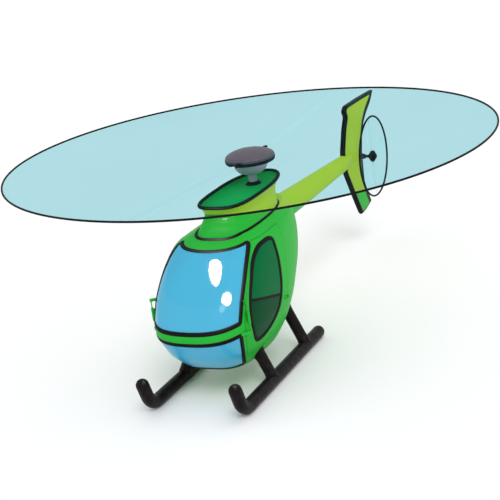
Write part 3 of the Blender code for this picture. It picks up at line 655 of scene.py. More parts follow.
@lru_cache(maxsize=None)
def dust_group() -> Tree:
    """Group that lays dust low down: colour mixed with dust where noise is high and height is under Top.

    Returns:
        The group.
    """
    kinds = {"Colour": "Color", "Dust": "Color", "Vector": "Vector", "Top": "Float", "Amount": "Float"}
    wiring, given, result = open_group("low_dust", kinds, {"Colour": "Color", "Mask": "Float"})
    height = wiring.add("SeparateXYZ", {"Vector": given["Vector"]}).outputs["Z"]
    fade = wiring.sum("SUBTRACT", 1.0, wiring.sum("DIVIDE", height, given["Top"]))
    noise = wiring.add("TexNoise", {"Vector": given["Vector"], "Scale": 14.0, "Detail": 6.0})
    patch = wiring.sum("MULTIPLY", wiring.share(noise.outputs["Fac"], 0.40, 0.72),
                       wiring.sum("MAXIMUM", fade, 0.0))
    mask = wiring.sum("MULTIPLY", patch, given["Amount"])
    wiring.fill(result, {"Colour": wiring.mix(mask, given["Colour"], given["Dust"]), "Mask": mask})
    return wiring.tree


@lru_cache(maxsize=None)
def weave_group() -> Tree:
    """Group that gives plain woven cloth: threads over and under as sin(x) * sin(y + z), for bump and shade.

    Returns:
        The group.
    """
    kinds = {"Vector": "Vector", "Threads": "Float", "Strength": "Float"}
    wiring, given, result = open_group("plain_weave", kinds, {"Normal": "Vector", "Mask": "Float"})
    parts = wiring.add("SeparateXYZ", {"Vector": given["Vector"]}).outputs
    across = wiring.sum("SINE", wiring.sum("MULTIPLY", parts["X"], given["Threads"]))
    down = wiring.sum("SINE", wiring.sum("MULTIPLY", wiring.sum("ADD", parts["Y"], parts["Z"]),
                                         given["Threads"]))
    weave = wiring.sum("MULTIPLY_ADD", wiring.sum("MULTIPLY", across, down), 0.5, 0.5)
    bump = wiring.add("Bump", {"Strength": given["Strength"], "Distance": 0.0012, "Height": weave})
    wiring.fill(result, {"Normal": bump.outputs[0], "Mask": weave})
    return wiring.tree


# Finishes

DUST = (176, 170, 158)


def linear(colour: Colour) -> tuple[float, float, float, float]:
    """Screen colour as the linear numbers that shaders take."""
    share = np.asarray(colour, float) / 255
    return (*np.where(share <= 0.04045, share / 12.92, ((share + 0.055) / 1.055) ** 2.4).tolist(), 1.0)


@dataclass(frozen=True)
class Finish:
    """A surface with a name, a colour and a roughness, and the material made from them."""

    name: str
    colour: Colour = (128, 128, 128)
    roughness: float = 0.4
    specular: float = 0.5

    def build(self) -> Material:
        """Makes the material.

        Returns:
            The new material.
        """
        material = bpy.data.materials.new(self.name)
        material.use_nodes = True
        material.diffuse_color = linear(self.colour)
        wiring = Wiring(material.node_tree)
        wiring.surface({"Specular IOR Level": self.specular})
        self.wire(wiring)
        return material

    def wire(self, wiring: Wiring) -> None:
        """Wires the surface's nodes; each kind of finish has its own."""
        raise NotImplementedError

    def uneven(self, wiring: Wiring, grain: Node, swing: float) -> Socket:
        """Roughness that wanders with a grain by swing about the finish's own."""
        return wiring.sum("MULTIPLY_ADD", grain.outputs["Mask"], 2 * swing, self.roughness - swing)


@lru_cache(maxsize=None)
def material_of(finish: Finish) -> Material:
    """Material of a finish, made once."""
    return finish.build()


@dataclass(frozen=True)
class Paint(Finish):
    """Glossy coat of enamel with a little orange peel, and dust on its low parts."""

    roughness: float = 0.42
    specular: float = 0.05
    coat: float = 0.05
    tone: float = 0.035
    dust: float = 0.22
    dust_top: float = 0.8

    def pigment(self, wiring: Wiring) -> object:
        """Colour before clouds and dust."""
        return linear(self.colour)

    def wire(self, wiring: Wiring) -> None:
        """Wires pigment, clouds, dust, orange peel and clear coat.

        Args:
            wiring: The material's nodes.
        """
        colour = wiring.dusty(wiring.clouds(self.pigment(wiring), 1.7, self.tone), self.dust_top, self.dust)
        peel = wiring.grain(wiring.place(), 160.0, 0.10, 0.0008)
        wiring.surface({"Base Color": colour, "Normal": peel.outputs["Normal"],
                        "Roughness": self.uneven(wiring, peel, 0.05),
                        "Coat Weight": self.coat, "Coat Roughness": 0.09})


@dataclass(frozen=True)
class SplitPaint(Paint):
    """Two coats that meet on a sloping line: the second lies under height + slope * (y - start)."""

    second: Colour = (0, 0, 0)
    height: float = 0.0
    slope: float = 0.0
    start: float = 0.0
    blur: float = 0.002

    def pigment(self, wiring: Wiring) -> Socket:
        """First colour over the line and second under it.

        Args:
            wiring: The material's nodes.

        Returns:
            The colour's socket.
        """
        parts = wiring.add("SeparateXYZ", {"Vector": wiring.place()}).outputs
        line = wiring.sum("MULTIPLY_ADD", parts["Y"], self.slope, self.height - self.slope * self.start)
        over = wiring.share(wiring.sum("SUBTRACT", parts["Z"], line), -self.blur, self.blur)
        return wiring.mix(over, linear(self.second), linear(self.colour))

@dataclass(frozen=True)
class EdgedPaint(SplitPaint):
    """Two-coat paint with a band of edging, where the mark "edge" is under its width."""

    edging: Colour = (0, 0, 0)
    width: float = 0.04

    def pigment(self, wiring: Wiring) -> Socket:
        """Both coats, and the edging over them.

        Args:
            wiring: The material's nodes.

        Returns:
            The colour's socket.
        """
        edge = wiring.add("Attribute", attribute_name="edge").outputs["Fac"]
        inside = wiring.share(edge, self.width - self.blur, self.width + self.blur)
        return wiring.mix(inside, linear(self.edging), super().pigment(wiring))


@dataclass(frozen=True)
class Rubber(Finish):
    """Matt moulded rubber with a fine grain and a bloom of dust."""

    roughness: float = 0.55
    dust: float = 0.10
    dust_top: float = 0.7

    def wire(self, wiring: Wiring) -> None:
        """Wires clouds, dust and grain.

        Args:
            wiring: The material's nodes.
        """
        colour = wiring.dusty(wiring.clouds(linear(self.colour), 6.0, 0.12), self.dust_top, self.dust)
        grain = wiring.grain(wiring.place(), 420.0, 0.25, 0.0006)
        wiring.surface({"Base Color": colour, "Normal": grain.outputs["Normal"],
                        "Roughness": self.uneven(wiring, grain, 0.08)})


@dataclass(frozen=True)
class Metal(Finish):
    """Machined or painted metal, drawn out in fine lines along X."""

    roughness: float = 0.35
    metallic: float = 0.8
    tone: float = 0.08
    stretch: float = 30.0

    def wire(self, wiring: Wiring) -> None:
        """Wires tone and brushed lines.

        Args:
            wiring: The material's nodes.
        """
        drawn = wiring.add("Mapping", {"Vector": wiring.place(), "Scale": (1.0, self.stretch, self.stretch)})
        lines = wiring.grain(drawn.outputs[0], 12.0, 0.12, 0.0005)
        wiring.surface({"Base Color": wiring.clouds(linear(self.colour), 5.0, self.tone),
                        "Normal": lines.outputs["Normal"],
                        "Roughness": self.uneven(wiring, lines, 0.07), "Metallic": self.metallic})


@dataclass(frozen=True)
class TintedPane(Finish):
    """Tinted acrylic: a smooth coloured sheet that lets a little light through."""

    roughness: float = 0.12
    specular: float = 0.06
    alpha: float = 0.88
    coat: float = 0.5
    second: Optional[Colour] = None

    def wire(self, wiring: Wiring) -> None:
        """Wires tint, gloss and, where there are two tints, the mark "over_bar" between them.

        Args:
            wiring: The material's nodes.
        """
        tint = linear(self.colour)
        if self.second is not None:
            mark = wiring.add("Attribute", attribute_name="over_bar").outputs["Fac"]
            tint = wiring.mix(wiring.share(mark, -0.002, 0.002), linear(self.second), tint)
        haze = wiring.grain(wiring.place(), 3.0, 0.02, 0.002)
        wiring.surface({
            "Base Color": wiring.clouds(tint, 0.9, 0.03), "Roughness": self.uneven(wiring, haze, 0.03),
            "Alpha": self.alpha, "Coat Weight": self.coat, "Coat Roughness": 0.02})


@dataclass(frozen=True)
class SweptDisc(Finish):
    """The pale see-through disc of a turning rotor: it tints what lies behind it and casts no shadow."""

    gloss: float = 0.005

    def wire(self, wiring: Wiring) -> None:
        """Wires a tinting veil with a touch of gloss, and a clear one for the lamps.

        Args:
            wiring: The material's nodes.
        """
        tint = linear(self.colour)
        veil = wiring.add("BsdfTransparent", {"Color": wiring.clouds(tint, 0.35, 0.02)})
        clear = wiring.add("BsdfTransparent", {"Color": (1.0, 1.0, 1.0, 1.0)})
        wiring.surface({"Base Color": tint, "Roughness": self.roughness})
        seen = wiring.add("MixShader", {0: self.gloss, 1: veil.outputs[0], 2: wiring.shader.outputs[0]})
        shadow = wiring.add("LightPath").outputs["Is Shadow Ray"]
        lamp = wiring.add("MixShader", {0: shadow, 1: seen.outputs[0], 2: clear.outputs[0]})
        wiring.fill(wiring.tree.nodes["Material Output"].inputs, {"Surface": lamp.outputs[0]})


@dataclass(frozen=True)
class Cloth(Finish):
    """Woven seat cloth with a soft sheen."""

    roughness: float = 0.85
    threads: float = 1500.0

    def wire(self, wiring: Wiring) -> None:
        """Wires weave, thread shade and sheen.

        Args:
            wiring: The material's nodes.
        """
        sockets = {"Vector": wiring.place(), "Threads": self.threads, "Strength": 0.5}
        weave = wiring.add("Group", sockets, node_tree=weave_group()).outputs
        light = wiring.clouds(linear(self.colour), 9.0, 0.15)
        dark = wiring.clouds(light, 300.0, 0.35)
        wiring.surface({"Base Color": wiring.mix(weave["Mask"], dark, light), "Normal": weave["Normal"],
                        "Roughness": self.roughness, "Sheen Weight": 0.25})


@dataclass(frozen=True)
class StudioFloor(Finish):
    """Smooth pale studio floor."""

    def wire(self, wiring: Wiring) -> None:
        """Wires a faint unevenness of tone and gloss.

        Args:
            wiring: The material's nodes.
        """
        grain = wiring.grain(wiring.place(), 30.0, 0.02, 0.001)
        wiring.surface({"Base Color": wiring.clouds(linear(self.colour), 0.2, 0.006),
                        "Roughness": self.uneven(wiring, grain, 0.05)})


GREEN_PAINT = Paint("green_enamel", (38, 172, 55))
LIME_PAINT = Paint("lime_enamel", (214, 220, 50))
DECK_PAINT = Paint("deck_enamel", (0, 182, 84), roughness=0.5, specular=0.03, coat=0.0)
BLACK_RUBBER = Rubber("black_rubber", (14, 10, 12), specular=0.10)
SKID_COAT = Paint("skid_enamel", (18, 11, 13), specular=0.08, coat=0.04, tone=0.10, dust=0.04, dust_top=0.5)
HUB_METAL = Metal("hub_metal", (92, 88, 97), specular=0.06, metallic=0.1, roughness=0.45, stretch=4.0)
# Mast grey painted much lighter than the cap's grey: painted light that lifts the shade cast by the cap and
# the swept disc.
MAST_METAL_PAINTED_LIGHT = Metal("mast_metal_painted_light", (196, 176, 188), specular=0.06, metallic=0.1, roughness=0.45, stretch=4.0)
DARK_METAL = Metal("dark_metal", (52, 50, 54), metallic=0.6)
INNER_METAL = Metal("inner_metal", (148, 150, 152), metallic=0.5, roughness=0.5)
ENGINE_METAL = Metal("engine_metal", (120, 122, 124), metallic=0.8, roughness=0.45, tone=0.2)
BLUE_PANE = TintedPane("blue_acrylic", (74, 178, 215))
DOOR_PANE = TintedPane("green_acrylic", (0, 102, 54), specular=0.02, alpha=0.985, coat=0.05,
                       second=(0, 70, 36))
BLADE_PAINT = Paint("blade_enamel", (246, 248, 249), roughness=0.5, dust=0.0)
SWEPT = SweptDisc("swept_disc", (211, 236, 239), roughness=0.3)
TAIL_SWEPT = SweptDisc("tail_swept_disc", (250, 253, 253), roughness=0.3)
RIM_PAINT = Paint("rim_enamel", (20, 18, 20), roughness=0.5, coat=0.0, dust=0.0)
SEAT_CLOTH = Cloth("seat_cloth", (58, 62, 68))
DIAL_BLACK = Rubber("dial_black", (16, 16, 18), roughness=0.4, dust=0.0)
DIAL_WHITE = Paint("dial_white", (226, 226, 220), roughness=0.5, coat=0.0, dust=0.0)
FLOOR_MAT = Rubber("floor_mat", (46, 47, 49), roughness=0.8, dust=0.25)


# Hull

@dataclass(frozen=True)
class Hull:
    """Skin of the cabin: at each height a rounded outline between nose, widest station and tail.

    The outline at an angle from the nose is a superellipse, squarer in front of the widest station.
    """

    mast: float = float(sum(corner[1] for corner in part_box("rotor_mast"))) / 2
    nose_power: float = 3.5
    tail_power: float = 2.0
    keel: float = 0.28
    chin_low: float = 0.44
    sill: float = 0.60
    band_low: float = 0.945
    band_height: float = 0.16
    band_rise: float = 0.05
    eave: float = 1.99
    eave_dip: float = 0.05
    roof: float = 2.05
    screen_edge: float = 47.3
    door_front: float = 50.5
    door_rear: float = 98.5
    wall: float = 0.030
    pane_out: float = 0.004
    pane_in: float = 0.012
    seam: float = 0.0015
    gap: float = 0.0003
    polish_rise: float = 0.08
    angle_step: float = 1.5
    row_step: float = 0.02
    # height, nose, widest station, tail, half width
    stations: tuple[tuple[float, ...], ...] = (
        (0.28, -1.54, -1.05, -0.74, 0.245), (0.36, -1.95, -1.08, -0.54, 0.43),
        (0.50, -2.20, -1.10, -0.33, 0.545), (0.75, -2.43, -1.12, -0.05, 0.67),
        (1.05, -2.55, -1.12, 0.24, 0.735), (1.35, -2.42, -1.10, 0.52, 0.745),
        (1.60, -2.19, -1.05, 0.64, 0.73), (1.80, -1.93, -1.00, 0.68, 0.69), (1.95, -1.67, -0.90, 0.66, 0.63),
        (2.05, -1.36, -0.80, 0.60, 0.45),
    )

    def world(self, points: Sequence[Sequence[float]] | Array) -> Array:
        """Points given from the mast, in the frame's own place."""
        return np.asarray(points, float) + np.array([0.0, self.mast, 0.0])

    def outline(self, z: Array) -> list[Array]:
        """Nose, widest station, tail and half width at each height."""
        return at_stations(self.stations, np.clip(z, self.keel, self.roof))

    def at(self, angle: Array, z: Array, inset: float = 0.0) -> Array:
        """Points of the skin, or of a surface inside it.

        Args:
            angle: Degrees from the nose, positive to the left.
            z: Heights.
            inset: How far the surface lies inside the skin, on the level.

        Returns:
            Points in the frame.
        """
        nose, wide, tail, half = self.outline(z)
        turn = np.radians(angle)
        ahead = np.cos(turn) > 0
        sine, cosine = superellipse(turn, np.where(ahead, self.nose_power, self.tail_power))
        reach = np.where(ahead, wide - nose, tail - wide) - inset
        return self.world(pack((half - inset) * sine, wide - reach * cosine, z))

    def around(self, angle: Array, z: Array, half: float = 0.05) -> Array:
        """Step round the skin for each degree of turn."""
        return (self.at(angle + half, z) - self.at(angle - half, z)) / (2 * half)

    def normal(self, angle: Array, z: Array, rise: float = 0.002) -> Array:
        """Outward direction of the skin, from its slopes over a small turn and a rise."""
        return unit(np.cross(self.around(angle, z), self.at(angle, z + rise) - self.at(angle, z - rise)))

    def polish(self, mesh: Mesh) -> None:
        """Turns the normals on a pane's outer face to the skin's slope over a hand's breadth.

        The face then mirrors light evenly across the heights where the skin's curvature changes.

        Args:
            mesh: The pane's mesh.
        """
        points = points_of(mesh)
        nose, wide, _, half = self.outline(points[:, 2])
        across = points[:, 0] / (half - self.pane_out)
        ahead = (wide - points[:, 1] + self.mast) / (wide - nose - self.pane_out)
        angle = np.degrees(np.arctan2(across, ahead))
        off = np.linalg.norm(points - self.at(angle, points[:, 2], self.pane_out), axis=1)
        out = self.normal(angle, points[:, 2], self.polish_rise)
        mesh.normals_split_custom_set_from_vertices(np.where(off[:, None] < 1e-4, out, 0.0).tolist())

    def inside(self, points: Array) -> Array:
        """Whether each point lies inside the skin.

        Args:
            points: Points in the frame.

        Returns:
            True for each point inside.
        """
        local = points - np.array([0.0, self.mast, 0.0])
        nose, wide, tail, half = self.outline(local[..., 2])
        ahead = local[..., 1] < wide
        reach = np.where(ahead, wide - nose, tail - wide)
        power = np.where(ahead, self.nose_power, self.tail_power)
        across = np.abs(local[..., 0] / half) ** power
        level = across + np.abs((local[..., 1] - wide) / reach) ** power < 1
        return level & (local[..., 2] < self.roof)

    def crossing(self, start: Array, end: Array) -> Array:
        """Where lines from inside the skin leave it, found by halving.

        Args:
            start: Points inside the skin.
            end: Points outside it.

        Returns:
            Points on the skin.
        """
        low, high = np.zeros(len(start)), np.ones(len(start))
        for _ in range(24):
            middle = (low + high) / 2
            within = self.inside(start + middle[:, None] * (end - start))
            low, high = np.where(within, middle, low), np.where(within, high, middle)
        return start + low[:, None] * (end - start)

    def moved(self, angle: Array, z: Array, distance: Array | float) -> Array:
        """Angles moved along the skin by a distance."""
        return angle + distance / np.linalg.norm(self.around(angle, z), axis=-1)

    def band(self, angle: Array) -> Array:
        """Lower edge of the nose band, which rises to the sides."""
        return self.band_low + self.band_rise * (np.abs(angle) / self.screen_edge) ** 2

    def eaves(self, angle: Array) -> Array:
        """Seam between roof and walls, which dips over the windshield."""
        return self.eave - self.eave_dip * (1 - np.minimum(np.abs(angle) / self.screen_edge, 1.0) ** 2)

    def panel(self, start: float, end: float, low: Array | float, high: Array | float, outer: float = 0.0,
              inner: Optional[float] = None) -> Shell:
        """Wall of the cabin between two angles and two seams.

        Args:
            start: First angle.
            end: Last angle.
            low: Height of the lower seam, or one for each column.
            high: Height of the upper seam, or one for each column.
            outer: Inset of the outer face.
            inner: Inset of the inner face, a whole wall unless it is given.

        Returns:
            The closed panel.
        """
        angles, low, high = np.broadcast_arrays(self.columns(start, end), low, high)
        rows = max(3, int((high.max() - low.min()) / self.row_step))
        share = np.linspace(0, 1, rows)[:, None]
        z = low[None] + share * (high - low)[None]
        grid = np.repeat(angles[None], rows, axis=0)
        grid[:, 0] = self.moved(grid[:, 0], z[:, 0], self.seam / 2)
        grid[:, -1] = self.moved(grid[:, -1], z[:, -1], -self.seam / 2)
        depth = self.wall if inner is None else inner
        return Shell().slab(self.at(grid, z, outer), self.at(grid, z, depth))

    def columns(self, start: float, end: float) -> Array:
        """Even angles between two seams."""
        return np.linspace(start, end, max(3, int(abs(end - start) / self.angle_step) + 1))

    def loop(self, corners: Array, radius: int = 3, step: float = 0.012) -> Array:
        """Closed line of angles and heights, evenly spaced on the skin, its corners softened."""
        line = even(corners, self.at(corners[:, 0], corners[:, 1]), step, closed=True)
        return soften(line, radius, closed=True)

    def seal(self, line: Array, half: float, rise: float = 0.007, sink: float = 0.010,
             closed: bool = True) -> Shell:
        """Rubber strip that lies on the skin along a line of angles and heights."""
        path, out = self.at(line[:, 0], line[:, 1]), self.normal(line[:, 0], line[:, 1])
        return Shell().tube(sweep(path, out, strip_section(half, rise, sink), closed), closed)


HULL = Hull()


def two_coats(name: str, line: tuple[float, float, float], **edging: object) -> SplitPaint:
    """Lime over green.

    Args:
        name: Name of the finish.
        line: Height and station of a point where they meet, and the slope of the line through it.
        edging: Colour "edging" and width, for a painted border.

    Returns:
        The finish.
    """
    height, start, slope = line
    kind = EdgedPaint if edging else SplitPaint
    return kind(name, LIME_PAINT.colour, second=GREEN_PAINT.colour, height=height, slope=slope,
                start=HULL.mast + start, **edging)


HULL_PAINT = two_coats("hull_enamel", (2.0, 0.0, -0.245))


def points_of(mesh: Mesh) -> Array:
    """Points of a mesh.

    Args:
        mesh: Any mesh.

    Returns:
        Its points.
    """
    flat = np.zeros(3 * len(mesh.vertices), np.float32)
    mesh.vertices.foreach_get("co", flat)
    return flat.reshape(-1, 3).astype(float)


def domes(places: Array, out: Array, radius: float, height: float, count: int = 8) -> Shell:
    """Many small round heads: a ring at radius * cos t and height * sin t for each t.

    Args:
        places: Foot of each head.
        out: Direction that each head faces.
        radius: Radius of a head.
        height: How far it stands proud.
        count: Points in each ring.

    Returns:
        One shell with every head.
    """
    rise = np.radians([-35, 0, 35, 65])
    out = np.broadcast_to(out, places.shape)
    a = unit(np.cross(out, [0.31, 0.22, 0.92]))
    b = np.cross(out, a)
    turns = ring_turns(count)
    circle = np.cos(turns)[:, None] * a[:, None] + np.sin(turns)[:, None] * b[:, None]
    rings = radius * np.cos(rise)[:, None, None] * circle[:, None]
    rings += height * np.sin(rise)[:, None, None] * out[:, None, None]
    return Shell().many(places[:, None, None] + rings)


@dataclass
class CabinShell:
    """Panels, screens, seals and fasteners of the cabin."""

    seal_half: float = 0.030
    rivet_pitch: float = 0.07
    rivet_radius: float = 0.0048
    rivet_height: float = 0.0016
    rivet_inset: float = 0.016
    rivet_end: float = 0.03
    door_shift: float = 1.6
    tail_seam: float = 178.2
    rivet_span: tuple[float, float] = (101.0, 178.0)

    def build(self) -> None:
        """Builds everything that is fixed round the cabin."""
        self.panels()
        self.belly()
        self.roof()
        self.seals()
        self.rivets()

    def panels(self) -> None:
        """Nose band, pillars, rear sides and the two screens."""
        hull, edge = HULL, HULL.screen_edge
        across = hull.columns(-edge, edge)
        low = hull.band(across)
        high = low + hull.band_height
        add_piece("nose_band_skin", hull.panel(-edge, edge, low, high), GREEN_PAINT, "nose_band")
        for node, bottom, top in (("chin_window", hull.chin_low, low),
                                  ("windshield", high, hull.eaves(across))):
            shell = hull.panel(-edge, edge, bottom + hull.gap, top - hull.gap, hull.pane_out, hull.pane_in)
            name = node.replace("_window", "") + "_pane"
            pane = add_piece(name, shell, BLUE_PANE, node)
        hull.polish(pane.data)
        sill, eave = hull.sill + hull.gap, hull.eave - hull.gap
        for side in Side:
            for word, first, last, paint in (("front_pillar", edge, hull.door_front, GREEN_PAINT),
                                             ("rear_side", hull.door_rear, 180.0, HULL_PAINT)):
                start, end = sorted((side.value * first, side.value * last))
                add_piece(f"{word}_skin_{side.word}", hull.panel(start, end, sill, eave), paint,
                          f"{word}_{side.word}")

    def belly(self) -> None:
        """Belly pan: lower in front, under the chin pane, than at the sides."""
        hull, edge, step = HULL, HULL.screen_edge, 0.03
        around = join(hull.columns(-edge, edge), hull.columns(edge + step, 360 - edge - step))
        front = np.abs((around + 180) % 360 - 180) <= edge + step / 2
        top = np.where(front, hull.chin_low, hull.sill)
        share = np.linspace(0, 1, 20)[:, None]
        outer = hull.at(around[None], hull.keel + share * (top - hull.keel))
        floor = hull.keel + hull.wall
        inner = hull.at(around[None], top - share * (top - floor), hull.wall)
        add_piece("belly_skin", Shell().tube(join(outer, inner)), GREEN_PAINT, "belly_pan")

    def roof(self) -> None:
        """Roof panel: a shallow dish with a flat top."""
        hull, edge = HULL, HULL.screen_edge
        around = join(hull.columns(-180.0, -edge), hull.columns(-edge, edge)[1:-1],
                      hull.columns(edge, 180.0)[:-1])
        seam = hull.eaves(around)
        outer = hull.at(around, hull.roof + np.linspace(0, 1, 12)[:, None] * (seam - hull.roof))
        ceiling = hull.roof - hull.wall
        inner = hull.at(around, seam + np.linspace(0, 1, 5)[:, None] * (ceiling - seam), hull.wall)
        add_piece("roof_skin", Shell().tube(join(outer, inner)), HULL_PAINT, "roof_panel")

    def frame_line(self, low: Array, high: Array) -> Array:
        """Corners of a screen's border, between two lines of heights across the nose.

        Args:
            low: Heights of the lower edge.
            high: Heights of the upper edge.

        Returns:
            Angles and heights, once round.
        """
        edge = HULL.screen_edge
        across = HULL.columns(-edge, edge)
        rise = np.linspace(0, 1, 20)[1:-1]
        post = np.full(len(rise), edge)
        right = low[-1] + rise * (high[-1] - low[-1])
        left = high[0] + rise * (low[0] - high[0])
        angle = join(across, post, across[::-1], -post)
        return pack(angle, join(low, right, high[::-1], left))

    def seals(self) -> None:
        """Rubber strips round both screens."""
        hull, edge = HULL, HULL.screen_edge
        across = hull.columns(-edge, edge)
        low = hull.band(across)
        for name, bottom, top in (("windshield_seal", low + hull.band_height, hull.eaves(across)),
                                  ("chin_seal", np.full_like(low, hull.chin_low), low)):
            line = hull.loop(self.frame_line(bottom, top))
            add_piece(name, hull.seal(line, self.seal_half), BLACK_RUBBER)

    def rivets(self) -> None:
        """Rows of flat heads beside the door's rear seam, the tail's seam, the sill and the eave."""
        hull, inset = HULL, self.rivet_inset
        rise = (hull.sill + self.rivet_end, hull.eave - self.rivet_end)
        rows = [((hull.door_rear + self.door_shift,), rise), ((self.tail_seam,), rise)]
        rows += [(self.rivet_span, (z,)) for z in (hull.sill - inset, hull.sill + inset, hull.eave - inset)]
        places, out = [], []
        for side in Side:
            for angles, heights in rows:
                angle, z = (np.linspace(ends[0], ends[-1], 80) for ends in (angles, heights))
                angle = side.value * angle
                spots = even(pack(angle, z), hull.at(angle, z), self.rivet_pitch, closed=False).T
                places.append(hull.at(*spots))
                out.append(hull.normal(*spots))
        shell = domes(np.concatenate(places), np.concatenate(out), self.rivet_radius, self.rivet_height)
        add_piece("cabin_rivets", shell, HULL_PAINT)


@dataclass
class Door:
    """One door: skin, pane with its bar, seal and handle."""

    side: Side
    seam: float = 0.006
    window_centre: tuple[float, float] = (73.0, 1.36)
    window_span: tuple[float, float] = (18.0, 0.60)
    pane_fit: float = 0.999
    seal_half: float = 0.031
    bar_half: float = 0.018
    # degrees from the nose and height, clockwise from the low front tip
    window: tuple[tuple[float, float], ...] = (
        (60.0, 0.775), (57.0, 1.00), (54.6, 1.32), (53.6, 1.60), (53.9, 1.80), (58.5, 1.905), (68.0, 1.930),
        (80.0, 1.920), (88.0, 1.850), (90.3, 1.60), (90.3, 1.20), (84.0, 0.945), (72.0, 0.790),
    )
    bar: tuple[tuple[float, float], ...] = ((54.4, 1.37), (71.0, 1.26), (90.6, 1.13))

    def build(self) -> None:
        """Builds the door's pieces on its body."""
        self.skin()
        self.pane()
        self.trim()
        self.handle()
        for node in ("door_hinge", "door_knuckle"):
            dress(f"{node}_{self.side.word}", GREEN_PAINT)

    def border(self) -> Array:
        """Window border as a smooth closed curve through its points, as Catmull-Rom pieces.

        Returns:
            Angles and heights.
        """
        p = np.array(self.window)
        a, b, c, d = np.roll(p, 1, 0), p, np.roll(p, -1, 0), np.roll(p, -2, 0)
        t = (np.arange(12) / 12)[None, :, None]
        a, b, c, d = (corner[:, None] for corner in (a, b, c, d))
        curve = 2 * b + (c - a) * t + (2 * a - 5 * b + 4 * c - d) * t**2 + (3 * b - a - 3 * c + d) * t**3
        return (0.5 * curve).reshape(-1, 2)

    def reach(self, turns: Array) -> tuple[Array, Array]:
        """Window border in each direction from the window's centre, in window units.

        Args:
            turns: Directions in radians.

        Returns:
            The two window coordinates.
        """
        u, v = self.units(self.border())
        angle = np.arctan2(v, u)
        order = np.argsort(angle)
        reach = np.interp(turns, angle[order], np.hypot(u, v)[order], period=2 * math.pi)
        return reach * np.cos(turns), reach * np.sin(turns)

    def units(self, line: Array) -> Array:
        """Angles and heights in window units: from the window's centre, in its half spans."""
        return ((line - self.window_centre) / self.window_span).T

    def place(self, u: Array, v: Array, inset: float) -> Array:
        """Points of the door's skin from window units."""
        angle = self.window_centre[0] + u * self.window_span[0]
        return HULL.at(self.side.value * angle, self.window_centre[1] + v * self.window_span[1], inset)

    def outline(self) -> tuple[Array, Array]:
        """Edge of the door in window units.

        Returns:
            The two window coordinates.
        """
        hull = HULL
        low, high = hull.sill + self.seam, hull.eave - self.seam
        rise = np.linspace(low, high, 60)
        run = np.linspace(hull.door_front, hull.door_rear, 44)
        front = hull.moved(np.full(60, hull.door_front), rise, self.seam)
        rear = hull.moved(np.full(60, hull.door_rear), rise, -self.seam)
        angle = join(front[:-1], run[:-1], rear[:0:-1], run[:0:-1])
        z = join(rise[:-1], np.full(43, high), rise[:0:-1], np.full(43, low))
        return self.units(pack(angle, z))

    def skin(self) -> None:
        """Door panel: rings from its edge to the window's hole, outside and back inside."""
        u, v = self.outline()
        hole_u, hole_v = self.reach(np.arctan2(v, u))
        rings = []
        for inset, shares in ((0.0, np.linspace(0, 1, 7)), (HULL.wall, np.linspace(1, 0, 7))):
            rings += [self.place(u + share * (hole_u - u), v + share * (hole_v - v), inset)
                      for share in shares]
        add_piece(f"door_skin_{self.side.word}", Shell().tube(np.array(rings), closed=True), GREEN_PAINT,
                  f"door_{self.side.word}", self.side.door)

    def pane(self) -> None:
        """Window pane in two tints, which meet at the bar."""
        turns = ring_turns(160)
        u, v = self.reach(turns)
        shares = join([0.02], np.linspace(0.08, 1.0, 16)) * self.pane_fit
        faces = [(shares, HULL.pane_out), (shares[::-1], HULL.pane_in)]
        rings = np.array([self.place(s * u, s * v, inset) for share, inset in faces for s in share])
        size = np.concatenate([share for share, _ in faces])[:, None]
        angle = self.window_centre[0] + size * u * self.window_span[0]
        z = self.window_centre[1] + size * v * self.window_span[1]
        bar = np.array(self.bar)
        over = z - np.interp(angle, bar[:, 0], bar[:, 1])
        add_piece(f"door_pane_{self.side.word}", Shell().tube(rings), DOOR_PANE,
                  f"door_window_{self.side.word}", self.side.door, {"over_bar": over})

    def trim(self) -> None:
        """Rubber strip round the window and the bar across it."""
        mirror = [self.side.value, 1.0]
        line = HULL.loop(self.border() * mirror, radius=2)
        bar = rounded(self.bar, 6.0) * mirror
        bar = even(bar, HULL.at(bar[:, 0], bar[:, 1]), 0.012, closed=False)
        for word, shell in (("seal", HULL.seal(line, self.seal_half)),
                            ("bar", HULL.seal(bar, self.bar_half, 0.004, 0.010, closed=False))):
            add_piece(f"door_{word}_{self.side.word}", shell, BLACK_RUBBER, "", self.side.door)

    def handle(self) -> None:
        """Pull handle: a bar bent out from two feet, inside the frame's own block."""
        node = f"door_handle_{self.side.word}"
        low, high = (np.array(corner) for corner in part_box(node))
        sign, thick = self.side.value, 0.011
        inner, outer = sorted((abs(low[0]), abs(high[0])))
        outer -= thick
        height = (low[2] + high[2]) / 2
        ends = (low[1] + thick, high[1] - thick)
        corners = [(sign * inner, ends[0], height), (sign * outer, ends[0] + 0.015, height),
                   (sign * outer, ends[1] - 0.015, height), (sign * inner, ends[1], height)]
        section = strip_section(thick, thick * 0.9, thick * 0.9)
        shell = Shell().tube(sweep(rounded(corners, 0.02), UP, section))
        feet = np.array([[sign * (inner + 0.003), y, height] for y in ends])
        turns = ring_turns(20)
        circle = pack(0.0, np.cos(turns), 0.8 * np.sin(turns))
        rings = np.array([0.018, 0.018, 0.013])[:, None, None] * circle
        rings += np.array([-0.004, 0.004, 0.007])[:, None, None] * [float(sign), 0.0, 0.0]
        shell.many(feet[:, None, None] + rings)
        add_piece(f"door_pull_{self.side.word}", shell, GREEN_PAINT, node, self.side.door)


